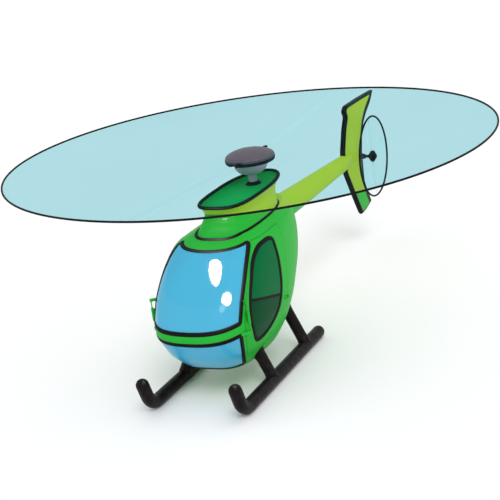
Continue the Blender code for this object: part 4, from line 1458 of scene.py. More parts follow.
@dataclass
class RotorCowl:
    """Cowl on the roof, with its rim, skirt, gasket and deck."""

    wall: float = 0.020
    front_power: float = 3.5
    rear_power: float = 2.2
    sides: int = 144
    rim: float = 0.025
    gasket: float = 0.030
    skirt_top: float = 2.13
    # front, widest station, rear and half width of the skirt's foot
    skirt_foot: tuple[float, ...] = (-1.46, -0.62, 0.37, 0.405)
    split: tuple[float, float, float] = (2.30, -1.20, -0.25)
    boot_inner: float = 0.0722
    # height, front, widest station, rear, half width
    stations: tuple[tuple[float, ...], ...] = (
        (2.0503, -1.35, -0.60, 0.36, 0.390), (2.12, -1.30, -0.56, 0.36, 0.378),
        (2.20, -1.23, -0.50, 0.38, 0.352), (2.26, -1.20, -0.46, 0.42, 0.338),
        (2.33, -1.23, -0.42, 0.47, 0.350), (2.42, -1.31, -0.38, 0.55, 0.382),
    )

    def ring(self, z: Array, inset: Array | float = 0.0) -> Array:
        """Outline of the cowl at each height: a superellipse, squarer in front of the widest station.

        Args:
            z: Heights.
            inset: How far the outline lies inside the cowl's skin.

        Returns:
            A ring of points for each height.
        """
        z = np.atleast_1d(np.asarray(z, float))
        sizes = [size[:, None] for size in at_stations(self.stations, z)]
        x, y = self.plan(sizes, np.broadcast_to(inset, z.shape)[:, None])
        return HULL.world(pack(x, y, z[:, None]))

    def plan(self, sizes: Sequence[Array | float], inset: Array | float = 0.0) -> tuple[Array, Array]:
        """Level outline from front, widest station, rear and half width.

        Args:
            sizes: Front, widest station, rear and half width.
            inset: How far the outline lies inside.

        Returns:
            X and Y of the outline.
        """
        front, wide, rear, half = sizes
        turns = ring_turns(self.sides)
        ahead = np.cos(turns) > 0
        sine, cosine = superellipse(turns, np.where(ahead, self.front_power, self.rear_power))
        reach = np.where(ahead, wide - front, rear - wide) - inset
        return (half - inset) * sine, wide - reach * cosine

    def bead(self, z: float, inset: float, radius: float) -> Shell:
        """Round bead along the cowl at one height."""
        return Shell().tube(sweep(self.ring(z, inset)[0], UP, round_section(radius), closed=True),
                            closed=True)

    def build(self) -> None:
        """Builds the cowl's pieces."""
        paint = two_coats("cowl_enamel", self.split)
        low, top = self.stations[0][0], self.stations[-1][0]
        levels = np.linspace(low, top, 40)
        rings = join(self.ring(levels), self.ring(levels[::-1], self.wall))
        add_piece("cowl_skin", Shell().tube(rings, closed=True), paint, "rotor_cowl")
        add_piece("cowl_rim", self.bead(top - 0.006, self.wall / 2, self.rim), BLACK_RUBBER)
        self.skirt()
        self.liner()
        dress("cowl_deck", DECK_PAINT)
        dress("main_gearbox", ENGINE_METAL)
        self.deck_trim()

    def skirt(self) -> None:
        """Fairing from the cowl's wall out to the roof, and the gasket along its foot.

        Across it the curve is (1-t)^2 A + 2t(1-t) B + t^2 C: A on the wall, B at its base, C on the roof.
        """
        x, y = self.plan(self.skirt_foot)
        column = HULL.world(pack(x, y, HULL.roof - 0.25))
        foot = HULL.crossing(column, column + [0.0, 0.0, 0.3])
        high, base = self.ring(self.skirt_top, -0.001)[0], self.ring(self.stations[0][0] + 0.004, -0.001)[0]
        t = np.linspace(0, 1, 12)[:, None, None]
        outer = (1 - t) ** 2 * high + 2 * t * (1 - t) * base + t**2 * foot
        inner = outer[::-1] - [0.0, 0.0, 0.006]
        add_piece("cowl_skirt", Shell().tube(join(outer, inner), closed=True),
                  two_coats("skirt_enamel", self.split))
        path = soften(foot, 2, closed=True)
        centre = path.mean(axis=0) - [0.0, 0.0, 0.6]
        bead = sweep(path, unit(path - centre), strip_section(self.gasket, 0.012, 0.014), closed=True)
        add_piece("cowl_gasket", Shell().tube(bead, closed=True), BLACK_RUBBER)

    def liner(self) -> None:
        """Thin lining of the cowl's wall over the deck, in the deck's own paint."""
        levels = np.linspace(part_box("cowl_deck")[1].z, self.stations[-1][0] - 0.004, 6)
        rings = join(self.ring(levels, self.wall), self.ring(levels[::-1], self.wall + 0.003))
        add_piece("cowl_liner", Shell().tube(rings, closed=True), DECK_PAINT)

    def deck_trim(self) -> None:
        """Boot round the mast's hole and the deck's screws."""
        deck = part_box("cowl_deck")[1].z
        centre = (0.0, HULL.mast, deck)
        inner = self.boot_inner
        boot = rounded([(inner, 0.0), (inner + 0.045, 0.0), (inner + 0.040, 0.012), (inner + 0.012, 0.022),
                        (inner + 0.010, 0.045), (inner, 0.045)], 0.006, closed=True)
        add_piece("mast_boot", Shell().lathe(boot, centre, UP), BLACK_RUBBER)
        line = self.ring(deck, self.wall + 0.035)[0]
        spots = even(line, line, 0.14, closed=True)
        add_piece("deck_screws", domes(spots, UP, 0.008, 0.003, 10), INNER_METAL)


def aerofoil(count: int) -> tuple[Array, Array]:
    """Blade section: chord position c = (1 - cos t) / 2, and thickness sqrt(c) * (1 - c) over and under it.

    Args:
        count: Points in the section.

    Returns:
        Chord positions and thicknesses.
    """
    turns = ring_turns(count)
    chord = (1 + np.cos(turns)) / 2
    thick = 2.6 * np.sqrt(chord) * (1 - chord) * np.sign(np.sin(turns))
    return 0.5 - chord, np.clip(thick, -1.0, 1.0)


@dataclass(frozen=True)
class BladeForm:
    """A rotor blade along its own length: a square root that widens to a flat section."""

    start: float
    tip: float
    chord: float
    thick: float
    root_half: float
    root_thick: float
    root_length: float = 0.16
    widen_length: float = 0.42
    tip_length: float = 0.10

    def rings(self, sections: int = 40, count: int = 28) -> Array:
        """Sections along the blade, each the root's rounded box mixed into the aerofoil.

        Args:
            sections: How many sections.
            count: Points in each section.

        Returns:
            Rings of points with the length along X, the chord along Y and the thickness along Z.
        """
        reach = join(np.linspace(self.start, self.start + self.widen_length, sections // 2),
                     np.linspace(self.start + self.widen_length, self.tip - self.tip_length, 6)[1:],
                     self.tip - self.tip_length * (1 - np.sin(np.linspace(0, math.pi / 2, 8)[1:])))
        root_end = self.start + self.root_length
        share = np.clip((reach - root_end) / (self.widen_length - self.root_length), 0, 1)
        share = (share**2 * (3 - 2 * share))[:, None]
        out = np.clip((reach - self.tip + self.tip_length) / self.tip_length, 0, 1)[:, None]
        narrow = np.sqrt(1 - 0.92 * out**2)
        sine, cosine = superellipse(ring_turns(count) + math.pi / 2, 4.0)
        chord, thick = aerofoil(count)
        y = (1 - share) * self.root_half * -cosine + share * self.chord * chord * narrow
        y = y - share * self.chord * 0.5 * (1 - narrow) * 0.5
        z = (1 - share) * self.root_thick / 2 * sine + share * self.thick / 2 * thick * narrow
        return pack(reach[:, None], y, z)


@dataclass
class MainRotor:
    """Mast, bowl, cap, swept disc and blades."""

    radius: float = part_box("rotor_disc")[1].x
    rise: float = 0.0543
    disc_height: float = 2.76
    disc_thick: float = 0.005
    rim_tube: float = 0.014
    mast_radius: float = 0.065
    bowl_low: float = 2.52
    bowl_top: float = 2.70
    cap_radius: float = 0.36
    cap_top: float = 2.80
    crown: float = 0.090
    crown_radius: float = 0.345
    edge_width: float = 0.042
    blade_drop: float = 0.026
    cuff_length: float = 0.20
    cuff_size: float = 1.1
    blade: BladeForm = BladeForm(0.3603, 3.43, 0.19, 0.020, 0.030, 0.036)

    def build(self) -> None:
        """Builds everything that turns on the mast."""
        self.mast()
        self.cap()
        self.disc()
        self.blades()

    def add_turned(self, name: str, profile: Array, finish: Finish, slot: Slot, replaces: str = "",
                   count: int = 96) -> Item:
        """Piece turned about the mast from radius and height pairs."""
        shell = Shell().lathe(profile, HULL.world([0.0, 0.0, 0.0]), UP, count)
        return add_piece(name, shell, finish, replaces, Body.MAIN_ROTOR)

    def mast(self) -> None:
        """Mast and bowl in a lighter grey, painted light against the cap's shade; the bowl's side is a
        quarter of an ellipse.
        """
        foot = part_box("rotor_mast")[0].z
        turns = np.linspace(0, math.pi / 2, 14)
        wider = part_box("rotor_mast")[1].x - self.mast_radius
        side = pack(self.mast_radius + wider * np.sin(turns),
                    self.bowl_top - (self.bowl_top - self.bowl_low) * np.cos(turns))
        profile = join([(POLE, foot), (self.mast_radius, foot)], side, [(POLE, self.bowl_top)])
        self.add_turned("mast_and_bowl", profile, MAST_METAL_PAINTED_LIGHT, Slot.GREY, "rotor_mast")

    def dome(self, reach: Array) -> Array:
        """Height of the cap: crown * (1 - (reach / radius)^2)^0.75 over its edge."""
        return self.cap_top + self.crown * np.maximum(1 - (reach / self.crown_radius) ** 2, 0.0) ** 0.75

    def cap(self) -> None:
        """Cap: a grey dome over a black lower edge, with a ring of bolts."""
        low, top = self.bowl_top + 0.0003, self.cap_top
        inner = self.cap_radius - self.edge_width
        turns = np.radians(np.linspace(-90, 90, 25))
        middle, half = (low + top) / 2, (top - low) / 2
        side = pack(self.cap_radius - half * 0.45 * (1 - np.cos(turns)), middle + half * np.sin(turns))
        edge = join([(inner, low)], side[:13], [(inner, middle)])
        self.add_turned("cap_edge", edge, BLACK_RUBBER, Slot.BLACK)
        reach = np.maximum((side[-1, 0] - 0.003) * np.sin(np.linspace(math.pi / 2, 0, 24)), POLE)
        under = [(POLE, low), (inner - 0.001, low), (inner - 0.001, middle), (side[12, 0] - 0.001, middle)]
        profile = join(under, side[13:], pack(reach, self.dome(reach)))
        self.add_turned("cap_top", profile, HUB_METAL, Slot.GREY, "rotor_hub_cap")
        bolts, ring = ring_turns(8), 0.62 * inner
        spots = pack(ring * np.cos(bolts), ring * np.sin(bolts), self.dome(ring) - 0.003)
        out = unit(spots - [0.0, 0.0, self.cap_top - 0.45])
        add_piece("cap_bolts", domes(HULL.world(spots), out, 0.013, 0.007, 6), HUB_METAL, "",
                  Body.MAIN_ROTOR)

    def level(self, reach: Array | float) -> Array | float:
        """Height of the swept disc at a distance from the mast."""
        return self.disc_height + self.rise * reach

    def disc(self) -> None:
        """Swept disc, a thin cone, and the dark bead that its tips draw round it."""
        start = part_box("rotor_hub_cap")[1].x + 0.0008
        end = self.radius - 2 * self.rim_tube + 0.004
        reach = np.linspace(start, end, 24)
        half = self.disc_thick / 2
        upper = pack(reach, self.level(reach) + half)
        lower = pack(reach[::-1], self.level(reach[::-1]) - half)
        disc = self.add_turned("swept_disc", join(upper, lower), SWEPT, Slot.DISC, "rotor_disc", 180)
        disc.visible_diffuse = False
        centre = self.radius - self.rim_tube
        bead = [centre, self.level(centre)] + round_section(self.rim_tube, 14)[:, ::-1]
        self.add_turned("swept_rim", bead, RIM_PAINT, Slot.BLACK, count=240)

    def blades(self) -> None:
        """The two blades, fore and aft just under the disc, and the cuffs that hold them."""
        rings = self.blade.rings()
        held = rings[:, 0, 0] < self.blade.start + self.cuff_length
        cuff = rings[held] * [1.0, self.cuff_size, self.cuff_size]
        cuff[0, :, 0] += 0.004
        for word, part, paint in (("", rings, BLADE_PAINT), ("cuff_", cuff, RIM_PAINT)):
            part[..., 2] += self.level(part[..., 0]) - self.blade_drop
            for number, sign in ((1, 1.0), (2, -1.0)):
                shell = Shell().tube(HULL.world(part[..., [1, 0, 2]] * [sign, -sign, 1.0]))
                node = "" if word else f"rotor_blade_{number}"
                add_piece(f"blade_{word}{number}", shell, paint, node, Body.MAIN_ROTOR)


@dataclass
class Tail:
    """Boom, fin and tail rotor."""

    # station, centre height, half width, half height
    boom: tuple[tuple[float, ...], ...] = (
        (0.40, 1.768, 0.245, 0.198), (0.80, 1.757, 0.222, 0.191), (1.20, 1.744, 0.200, 0.186),
        (1.60, 1.731, 0.183, 0.178), (2.20, 1.714, 0.163, 0.164), (2.80, 1.699, 0.142, 0.148),
        (3.40, 1.682, 0.114, 0.133), (3.60, 1.677, 0.082, 0.115), (3.75, 1.672, 0.059, 0.088),
    )
    # matching stations and heights on the fin's front and rear edges, from the low tip up
    fin_front: tuple[tuple[float, float], ...] = (
        (3.97, 0.62), (3.84, 0.83), (3.70, 1.07), (3.46, 1.50), (3.44, 1.86), (3.62, 2.22), (3.76, 2.40),
        (3.70, 2.50), (3.80, 2.575), (4.40, 2.57), (5.14, 2.545),
    )
    fin_rear: tuple[tuple[float, float], ...] = (
        (4.48, 0.71), (4.36, 0.91), (4.25, 1.15), (4.265, 1.40), (4.28, 1.63), (4.37, 1.90), (4.50, 2.10),
        (4.60, 2.18), (4.70, 2.25), (4.95, 2.38), (5.14, 2.545),
    )
    fin_half: float = 0.045
    fin_edge: float = 0.035
    fin_rim: float = 0.012
    boom_split: tuple[float, float, float] = (1.805, 0.73, -0.239)
    fin_split: tuple[float, float, float] = (1.098, 3.636, -0.201)
    edging: float = 0.045
    rear_edging: float = 0.12
    rotor_y: float = 4.20
    rotor_z: float = 1.59
    rotor_radius: float = (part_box("tail_rotor_disc")[1].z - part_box("tail_rotor_disc")[0].z) / 2
    rotor_x: float = 0.25
    disc_x: float = 0.270
    disc_thick: float = 0.004
    rim_tube: float = 0.016
    ball: float = 0.075
    shaft: float = 0.028
    box_x: float = 0.120
    box_radius: float = 0.050
    collar_half: float = 0.024
    collar_wall: float = 0.020
    blade: BladeForm = BladeForm(0.0838, 0.65, 0.085, 0.010, 0.014, 0.018, 0.06, 0.16, 0.05)
    blade_shift: float = -0.006

    def build(self) -> None:
        """Builds everything behind the cabin."""
        self.boom_skin()
        self.fin()
        self.rotor()

    def boom_ring(self, station: Array, turns: Array) -> Array:
        """Boom's skin: an ellipse at each station."""
        z, half, tall = at_stations(self.boom, station)
        return HULL.world(pack(half * np.cos(turns), station, z + tall * np.sin(turns)))

    def boom_skin(self) -> None:
        """Boom from where it leaves the cabin to its end in the fin, and the collar at its root."""
        turns = ring_turns(96)
        first, second, last = self.boom[0][0], self.boom[1][0], self.boom[-1][0]
        start = self.boom_ring(first, turns)
        leave = HULL.crossing(start, self.boom_ring(second, turns))
        station = leave[:, 1] - HULL.mast
        share = np.linspace(0, 1, 8)[:, None]
        root = (station - 0.012)[None] + share * (second - station + 0.012)[None]
        run = np.repeat(np.arange(second + 0.05, last, 0.05)[:, None], 96, axis=1)
        stations = join(root, run, np.full((1, 96), last))
        rings = self.boom_ring(stations, turns)
        add_piece("boom_skin", Shell().tube(rings), two_coats("boom_enamel", self.boom_split),
                  "tail_boom")
        path = soften(self.boom_ring(station, turns), 3, closed=True)
        centre = path.mean(axis=0)
        collar = sweep(path, unit(path - centre), round_section(0.018), closed=True)
        add_piece("boom_collar", Shell().tube(collar, closed=True), BLACK_RUBBER)

    def fin_lines(self) -> tuple[Array, Array]:
        """Front and rear edges of the fin at matching even steps, their corners softened."""
        edges = np.array([self.fin_front, self.fin_rear])
        return np.hsplit(soften(even(np.hstack(edges), edges.mean(axis=0), 0.02, False), 2, False), 2)

    def fin(self) -> None:
        """Fin: sections between its edges, with thickness rising as a quarter circle from each edge."""
        front, rear = self.fin_lines()
        chord = np.linalg.norm(rear - front, axis=1)[:, None]
        near = np.array([[0.0, 0.002, 0.006, 0.012, 0.020, 0.035, 0.045, 0.09, 0.12, 0.15, 0.20, 0.26, 0.33]])
        near = np.minimum(near, chord * 0.49)
        depth = join(near, near[:, ::-1], axis=1)
        place = join(near, chord - near[:, ::-1], axis=1) / np.maximum(chord, 1e-6)
        edge = np.clip(1 - depth / self.fin_edge, 0, 1)
        thick = self.fin_rim + (self.fin_half - self.fin_rim) * np.sqrt(1 - edge**2)
        low = np.clip((front[:, 1:] - front[0, 1]) / self.fin_edge, 0, 1)
        thick = thick * (0.4 + 0.6 * np.sqrt(1 - (1 - low) ** 2))
        flat = front[:, None] + place[..., None] * (rear - front)[:, None]
        flat[..., 1] -= 0.088 * place * (1 - place) * np.exp(-(front[:, 1:] - front[0, 1]) / 0.12)
        y, z = flat[..., 0], flat[..., 1]
        rings = HULL.world(join(pack(thick, y, z), pack(-thick, y, z)[:, ::-1], axis=1))
        spots = rings[..., 1:] - [HULL.mast, 0.0]
        ahead = self.distance(spots, join(flat[0, ::-1], front))
        behind = self.distance(spots, rear) * self.edging / self.rear_edging
        paint = two_coats("fin_enamel", self.fin_split, edging=BLACK_RUBBER.colour, width=self.edging)
        add_piece("fin_skin", Shell().tube(rings), paint, "tail_fin",
                  marks={"edge": np.minimum(ahead, behind)})

    @staticmethod
    def distance(points: Array, line: Array) -> Array:
        """Distance of each point to the nearest stretch of an open line.

        Args:
            points: Points in the fin's plane.
            line: The line's points.

        Returns:
            A distance for each point.
        """
        start, step = line[:-1], np.diff(line, axis=0)
        length = np.maximum((step**2).sum(axis=1), 1e-12)
        offset = points[..., None, :] - start
        share = np.clip((offset * step).sum(axis=-1) / length, 0, 1)
        return np.linalg.norm(offset - share[..., None] * step, axis=-1).min(axis=-1)

    def add_turned(self, name: str, profile: Array, finish: Finish, slot: Slot, replaces: str = "",
                   body: Body = Body.TAIL_ROTOR, count: int = 64) -> Item:
        """Piece turned about the tail rotor's line from radius and X pairs."""
        shell = Shell().lathe(profile, HULL.world([0.0, self.rotor_y, self.rotor_z]), (1, 0, 0), count)
        return add_piece(name, shell, finish, replaces, body)

    def rotor(self) -> None:
        """Gearbox, shaft with its ball, swept disc, rim, collar and blades."""
        wide, foot = self.box_radius + 0.012, self.fin_half - 0.01
        box = rounded([(POLE, foot), (wide, foot), (wide, foot + 0.020), (self.box_radius, foot + 0.024),
                       (self.box_radius - 0.006, self.box_x - 0.012), (self.box_radius - 0.02, self.box_x),
                       (POLE, self.box_x)], 0.005)
        self.add_turned("tail_box", box, DARK_METAL, Slot.BLACK, "tail_gearbox", Body.AIRFRAME)
        turns = np.radians(np.linspace(17, 180, 24))
        ball = pack(self.ball * np.sin(turns), self.rotor_x - self.ball * np.cos(turns))
        ball[-1, 0] = POLE
        shaft = [(POLE, self.box_x + 0.0003), (self.shaft, self.box_x + 0.0003)]
        self.add_turned("tail_hub", join(shaft, ball), RIM_PAINT, Slot.BLACK, "tail_rotor_hub")
        start, end = self.ball + self.collar_wall + 0.0008, self.rotor_radius - 2 * self.rim_tube + 0.003
        low, high = self.disc_x - self.disc_thick / 2, self.disc_x + self.disc_thick / 2
        disc = self.add_turned("tail_swept_disc", [(start, high), (end, high), (end, low), (start, low)],
                               TAIL_SWEPT, Slot.DISC, "tail_rotor_disc", count=96)
        disc.visible_diffuse = False
        middle = self.rotor_radius - self.rim_tube
        bead = [middle, self.disc_x] + round_section(self.rim_tube, 12)[:, ::-1]
        self.add_turned("tail_swept_rim", bead, RIM_PAINT, Slot.BLACK, count=120)
        self.blades()

    def blades(self) -> None:
        """Collar round the ball and the two blades on it."""
        inner, outer = self.ball + 0.0008, self.ball + self.collar_wall
        low, high = self.rotor_x - self.collar_half, self.rotor_x + self.collar_half
        collar = rounded([(outer, low), (outer, high), (inner, high), (inner, low)], 0.005, closed=True)
        self.add_turned("tail_collar", collar, RIM_PAINT, Slot.BLACK)
        shell, rings = Shell(), self.blade.rings()
        x = self.rotor_x + self.blade_shift + rings[..., 2]
        for sign in (1.0, -1.0):
            y, z = self.rotor_y + sign * rings[..., 1], self.rotor_z + sign * rings[..., 0]
            shell.tube(HULL.world(pack(x, y, z)))
        add_piece("tail_blades", shell, BLADE_PAINT, "tail_rotor_blades", Body.TAIL_ROTOR)


@dataclass
class LandingGear:
    """Two skids on four legs."""

    spread: float = 0.68
    radius: float = 0.090
    rear: float = 0.04
    bend_station: float = -2.43
    bend_radius: float = 0.25
    bend: float = math.radians(70)
    tip: float = 0.20
    leg_radius: float = 0.080
    leg_lean: float = 0.42
    leg_top: float = 0.72
    leg_stations: tuple[tuple[str, float], ...] = (("front", -1.62), ("rear", -0.45))

    def build(self) -> None:
        """Builds the skids and their legs."""
        for side in Side:
            self.skid(side)
            for word, station in self.leg_stations:
                self.leg(side, word, station)

    def skid(self, side: Side) -> None:
        """Round skid: a straight run, an arc up and a short straight tip.

        Args:
            side: Side that it is for.
        """
        turns = np.linspace(0, self.bend, 18)
        arc_y = self.bend_station - self.bend_radius * np.sin(turns)
        arc_z = self.radius + self.bend_radius * (1 - np.cos(turns))
        run = np.linspace(self.rear, self.bend_station, 40)[:-1]
        y = join(run, arc_y, arc_y[-1:] - self.tip * math.cos(self.bend))
        z = join(np.full(len(run), self.radius), arc_z, arc_z[-1:] + self.tip * math.sin(self.bend))
        path = HULL.world(pack(side.value * self.spread, y, z))
        add_piece(f"skid_tube_{side.word}", Shell().tube(round_tube(path, [1.0, 0.0, 0.0], self.radius, 32)),
                  SKID_COAT, f"skid_{side.word}")

    def leg(self, side: Side, word: str, station: float) -> None:
        """Leg from the skid to where it meets the belly, wider at both ends.

        Args:
            side: Side that it is for.
            word: "front" or "rear".
            station: Where it stands on the skid.
        """
        foot = HULL.world([side.value * self.spread, station, self.radius + 0.015])
        top = HULL.world([side.value * (self.spread - self.leg_lean * self.leg_top), station,
                          self.radius + self.leg_top])
        along = unit(top - foot)
        across = np.array([along[2], 0.0, -along[0]])
        turns = ring_turns(36)
        circle = np.cos(turns)[:, None] * across + np.sin(turns)[:, None] * np.array([0.0, 1.0, 0.0])
        start, end = foot + self.leg_radius * circle, top + self.leg_radius * circle
        meet = HULL.crossing(end, start)
        share = np.array([0.0, 0.12, 0.20, 0.28, 0.50, 0.80, 0.88, 0.94, 1.0])
        grow = np.array([0.010, 0.008, 0.002, 0.0, 0.0, 0.0, 0.002, 0.008, 0.016])
        rings = start + share[:, None, None] * (meet - start) + grow[:, None, None] * circle
        add_piece(f"leg_tube_{word}_{side.word}", Shell().tube(rings), SKID_COAT,
                  f"skid_leg_{word}_{side.word}")


def rounded_prism(outline: Array, low: float, high: float, radius: float, steps: int = 5) -> Array:
    """Rings of a prism along X with rounded edges.

    Near an end the outline is drawn in by radius * (1 - sqrt(1 - s^2)), where s runs to 1 at the end.

    Args:
        outline: Closed y, z line, running round once.
        low: Least X.
        high: Greatest X.
        radius: Rounding of the edges at both ends.
        steps: Rings in each rounding.

    Returns:
        Rings from one end to the other.
    """
    along = np.roll(outline, -1, 0) - np.roll(outline, 1, 0)
    inward = unit(pack(-along[:, 1], along[:, 0]))
    centre = outline.mean(axis=0)
    facing = np.sign(((centre - outline) * inward).sum())
    s = np.linspace(1, 0, steps + 1)
    inset = radius * (1 - np.sqrt(1 - s**2))
    x = join(low + radius * (1 - s), high - radius * (1 - s[::-1]))
    depth = join(inset, inset[::-1])
    flat = outline[None] + facing * depth[:, None, None] * inward[None]
    return pack(x[:, None], flat[..., 0], flat[..., 1])


@dataclass
class Cushion:
    """A stuffed cushion, blown up by cloth simulation from a smaller block."""

    voxel: float = 0.006
    pressure: float = 4.0
    frames: int = 20
    cap: float = 0.016
    channel: float = 0.006
    channel_half: float = 0.012

    def blow(self, shell: Shell, name: str) -> Mesh:
        """Remeshes a block evenly and lets pressure swell it, no point further than the cap.

        Args:
            shell: The block.
            name: Name of the mesh.

        Returns:
            The swollen mesh.
        """
        block = place_object(name, shell.mesh(name))
        remesh = block.modifiers.new("even", "REMESH")
        remesh.mode = "VOXEL"
        remesh.voxel_size = self.voxel
        mesh = self.evaluated(block)
        block.modifiers.remove(remesh)
        block.data = mesh
        start = points_of(mesh)
        self.simulate(block)
        swollen = self.evaluated(block)
        move = points_of(swollen) - start
        length = np.linalg.norm(move, axis=1, keepdims=True)
        move *= np.minimum(1.0, self.cap / np.maximum(length, 1e-9))
        mesh.vertices.foreach_set("co", (start + move).astype(np.float32).ravel())
        bpy.data.objects.remove(block)
        return mesh

    def simulate(self, block: Item) -> None:
        """Runs the cloth from frame 1 to the last one.

        Args:
            block: The cushion's block.
        """
        cloth = block.modifiers.new("cloth", "CLOTH")
        cloth.settings.use_pressure = True
        cloth.settings.uniform_pressure_force = self.pressure
        cloth.settings.effector_weights.gravity = 0.0
        scene = bpy.context.scene
        for number in range(1, self.frames + 1):
            scene.frame_set(number)

    @staticmethod
    def evaluated(item: Item) -> Mesh:
        """Mesh of an object with its modifiers applied."""
        graph = bpy.context.evaluated_depsgraph_get()
        return bpy.data.meshes.new_from_object(item.evaluated_get(graph))

    def sew(self, mesh: Mesh, lines: Sequence[float], base: Array, out: Array) -> None:
        """Flattens the side that rests on the seat and presses sewn channels into the other.

        Each channel is a groove of channel * exp(-((x - line) / half)^2), deepest far from the base.

        Args:
            mesh: The swollen cushion.
            lines: X of each channel.
            base: A point of the plane that it rests on.
            out: Direction away from that plane.
        """
        points = points_of(mesh)
        height = (points - base) @ out
        points += np.maximum(0.0, 0.0007 - height)[:, None] * out
        full = height.max()
        top = np.clip((height - 0.45 * full) / (0.3 * full), 0, 1)
        groove = sum(np.exp(-(((points[:, 0] - line) / self.channel_half) ** 2)) for line in lines)
        points -= (self.channel * groove * top)[:, None] * out
        mesh.vertices.foreach_set("co", points.astype(np.float32).ravel())
        mesh.update()


@dataclass
class Cabin:
    """Seats, console, stick, floor and bulkhead inside."""

    cushion: Cushion = field(default_factory=Cushion)
    seat_height: float = 0.72
    seat_rear: float = -0.79
    back_top: float = 1.45
    back_lean: float = 0.13
    shrink: float = 0.011
    dial_radius: float = 0.034
    console: tuple[tuple[float, float], ...] = (
        (-1.78, 0.5003), (-1.58, 0.5003), (-1.58, 0.90), (-1.62, 1.20),
        (-1.80, 1.24), (-1.88, 1.20), (-1.86, 0.96),
    )
    console_half: float = 0.15

    def build(self) -> None:
        """Builds the cabin's inside."""
        dress("cabin_floor", FLOOR_MAT)
        dress("rear_bulkhead", INNER_METAL)
        dress("seat_frame", DARK_METAL)
        dress("engine_block", ENGINE_METAL)
        self.panel()
        self.stick()
        self.seats()

    def panel(self) -> None:
        """Instrument console with its dials."""
        outline = rounded(self.console, 0.02, closed=True)
        rings = rounded_prism(outline, -self.console_half, self.console_half, 0.015)
        add_piece("console_body", Shell().tube(HULL.world(rings)), BLACK_RUBBER,
                  "instrument_console")
        low, high = np.array([0.0, -1.58, 0.90]), np.array([0.0, -1.62, 1.20])
        up = unit(high - low)
        out = np.array([0.0, up[2], -up[1]])
        bezels, faces, marks = Shell(), Shell(), Shell()
        for share in (0.82, 0.50):
            for x in (-0.085, 0.0, 0.085):
                centre = HULL.world(low + share * (high - low) + [x, 0.0, 0.0] + 0.0004 * out)
                self.dial(centre, up, out, bezels, faces, marks)
        add_piece("dial_bezels", bezels, DARK_METAL)
        add_piece("dial_faces", faces, DIAL_BLACK)
        add_piece("dial_marks", marks, DIAL_WHITE)

    def dial(self, centre: Array, up: Array, out: Array, bezels: Shell, faces: Shell, marks: Shell) -> None:
        """One dial: a turned bezel, a flat face, twelve ticks and a needle.

        Args:
            centre: Middle of the dial on the console.
            up: Upward direction on the console's face.
            out: Direction that the dial faces.
            bezels: Shell that takes the bezel.
            faces: Shell that takes the face.
            marks: Shell that takes the ticks and the needle.
        """
        size = self.dial_radius
        bezel = rounded([(size, 0.0), (size * 1.14, 0.0), (size * 1.14, 0.008), (size, 0.010)], 0.003,
                        closed=True)
        bezels.lathe(bezel, centre, out, 40)
        faces.lathe([(POLE, 0.0), (size, 0.0), (size, 0.003), (POLE, 0.003)], centre, out, 40)
        side = np.cross(up, out)
        turns = np.append(ring_turns(12), 0.9)
        ray = np.cos(turns)[:, None] * up + np.sin(turns)[:, None] * side
        across = -np.sin(turns)[:, None] * up + np.cos(turns)[:, None] * side
        near = np.append(np.full(12, 0.78), 0.0)[:, None] * size
        far = np.append(np.full(12, 0.94), 0.72)[:, None] * size
        half = 0.0009
        corners = np.stack([near * ray - half * across, far * ray - half * across,
                            far * ray + half * across, near * ray + half * across], axis=1)
        levels = np.array([0.0032, 0.0042])[None, :, None, None] * out
        marks.many(centre + corners[:, None] + levels)

    def stick(self) -> None:
        """Stick with a bellows boot, a cross bar and two grips."""
        low, high = (np.array(corner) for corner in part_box("cyclic_stick"))
        middle = (low + high) / 2
        bar_z = high[2] - 0.016
        fold = np.linspace(0, 1, 40)
        boot_r = 0.034 - 0.019 * fold + 0.0025 * np.sin(fold * 8 * math.pi)
        boot = pack(boot_r, low[2] + 0.06 * fold)
        post = [(0.0125, low[2] + 0.06), (0.0125, bar_z), (POLE, bar_z)]
        profile = join([(POLE, low[2])], boot, post)
        shell = Shell().lathe(profile, (0.0, middle[1], 0.0), UP, 32)
        end = high[0] - 0.002
        run = np.linspace(-1, 1, 121)
        grip = np.clip((np.abs(run) * end - 0.145) / 0.006, 0, 1)
        radius = 0.0105 + grip * (0.0045 + 0.0008 * np.sin(run * 160))
        bar = join([(POLE, -end)], pack(radius, run * end), [(POLE, end)])
        shell.lathe(bar, (0.0, middle[1], bar_z), (1, 0, 0), 24)
        add_piece("stick_and_grips", shell, BLACK_RUBBER, "cyclic_stick")

    def seats(self) -> None:
        """Seat and back cushions, each blown up once and set on both sides."""
        base = HULL.world([0.0, self.seat_rear, self.seat_height])
        lean = unit(np.array([0.0, self.back_lean, self.back_top - self.seat_height]))
        ahead = np.array([0.0, -lean[2], lean[1]])
        for word, out in (("seat", np.array([0.0, 0.0, 1.0])), ("back", ahead)):
            low, high = (np.array(corner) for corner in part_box(f"{word}_cushion_left"))
            mesh = self.cushion.blow(self.block(word, low, high, base, lean, ahead), f"{word}_cushion_form")
            third = (high[0] - low[0]) / 3
            self.cushion.sew(mesh, (low[0] + third, low[0] + 2 * third), base, out)
            for side in Side:
                self.set_cushion(mesh, word, side)

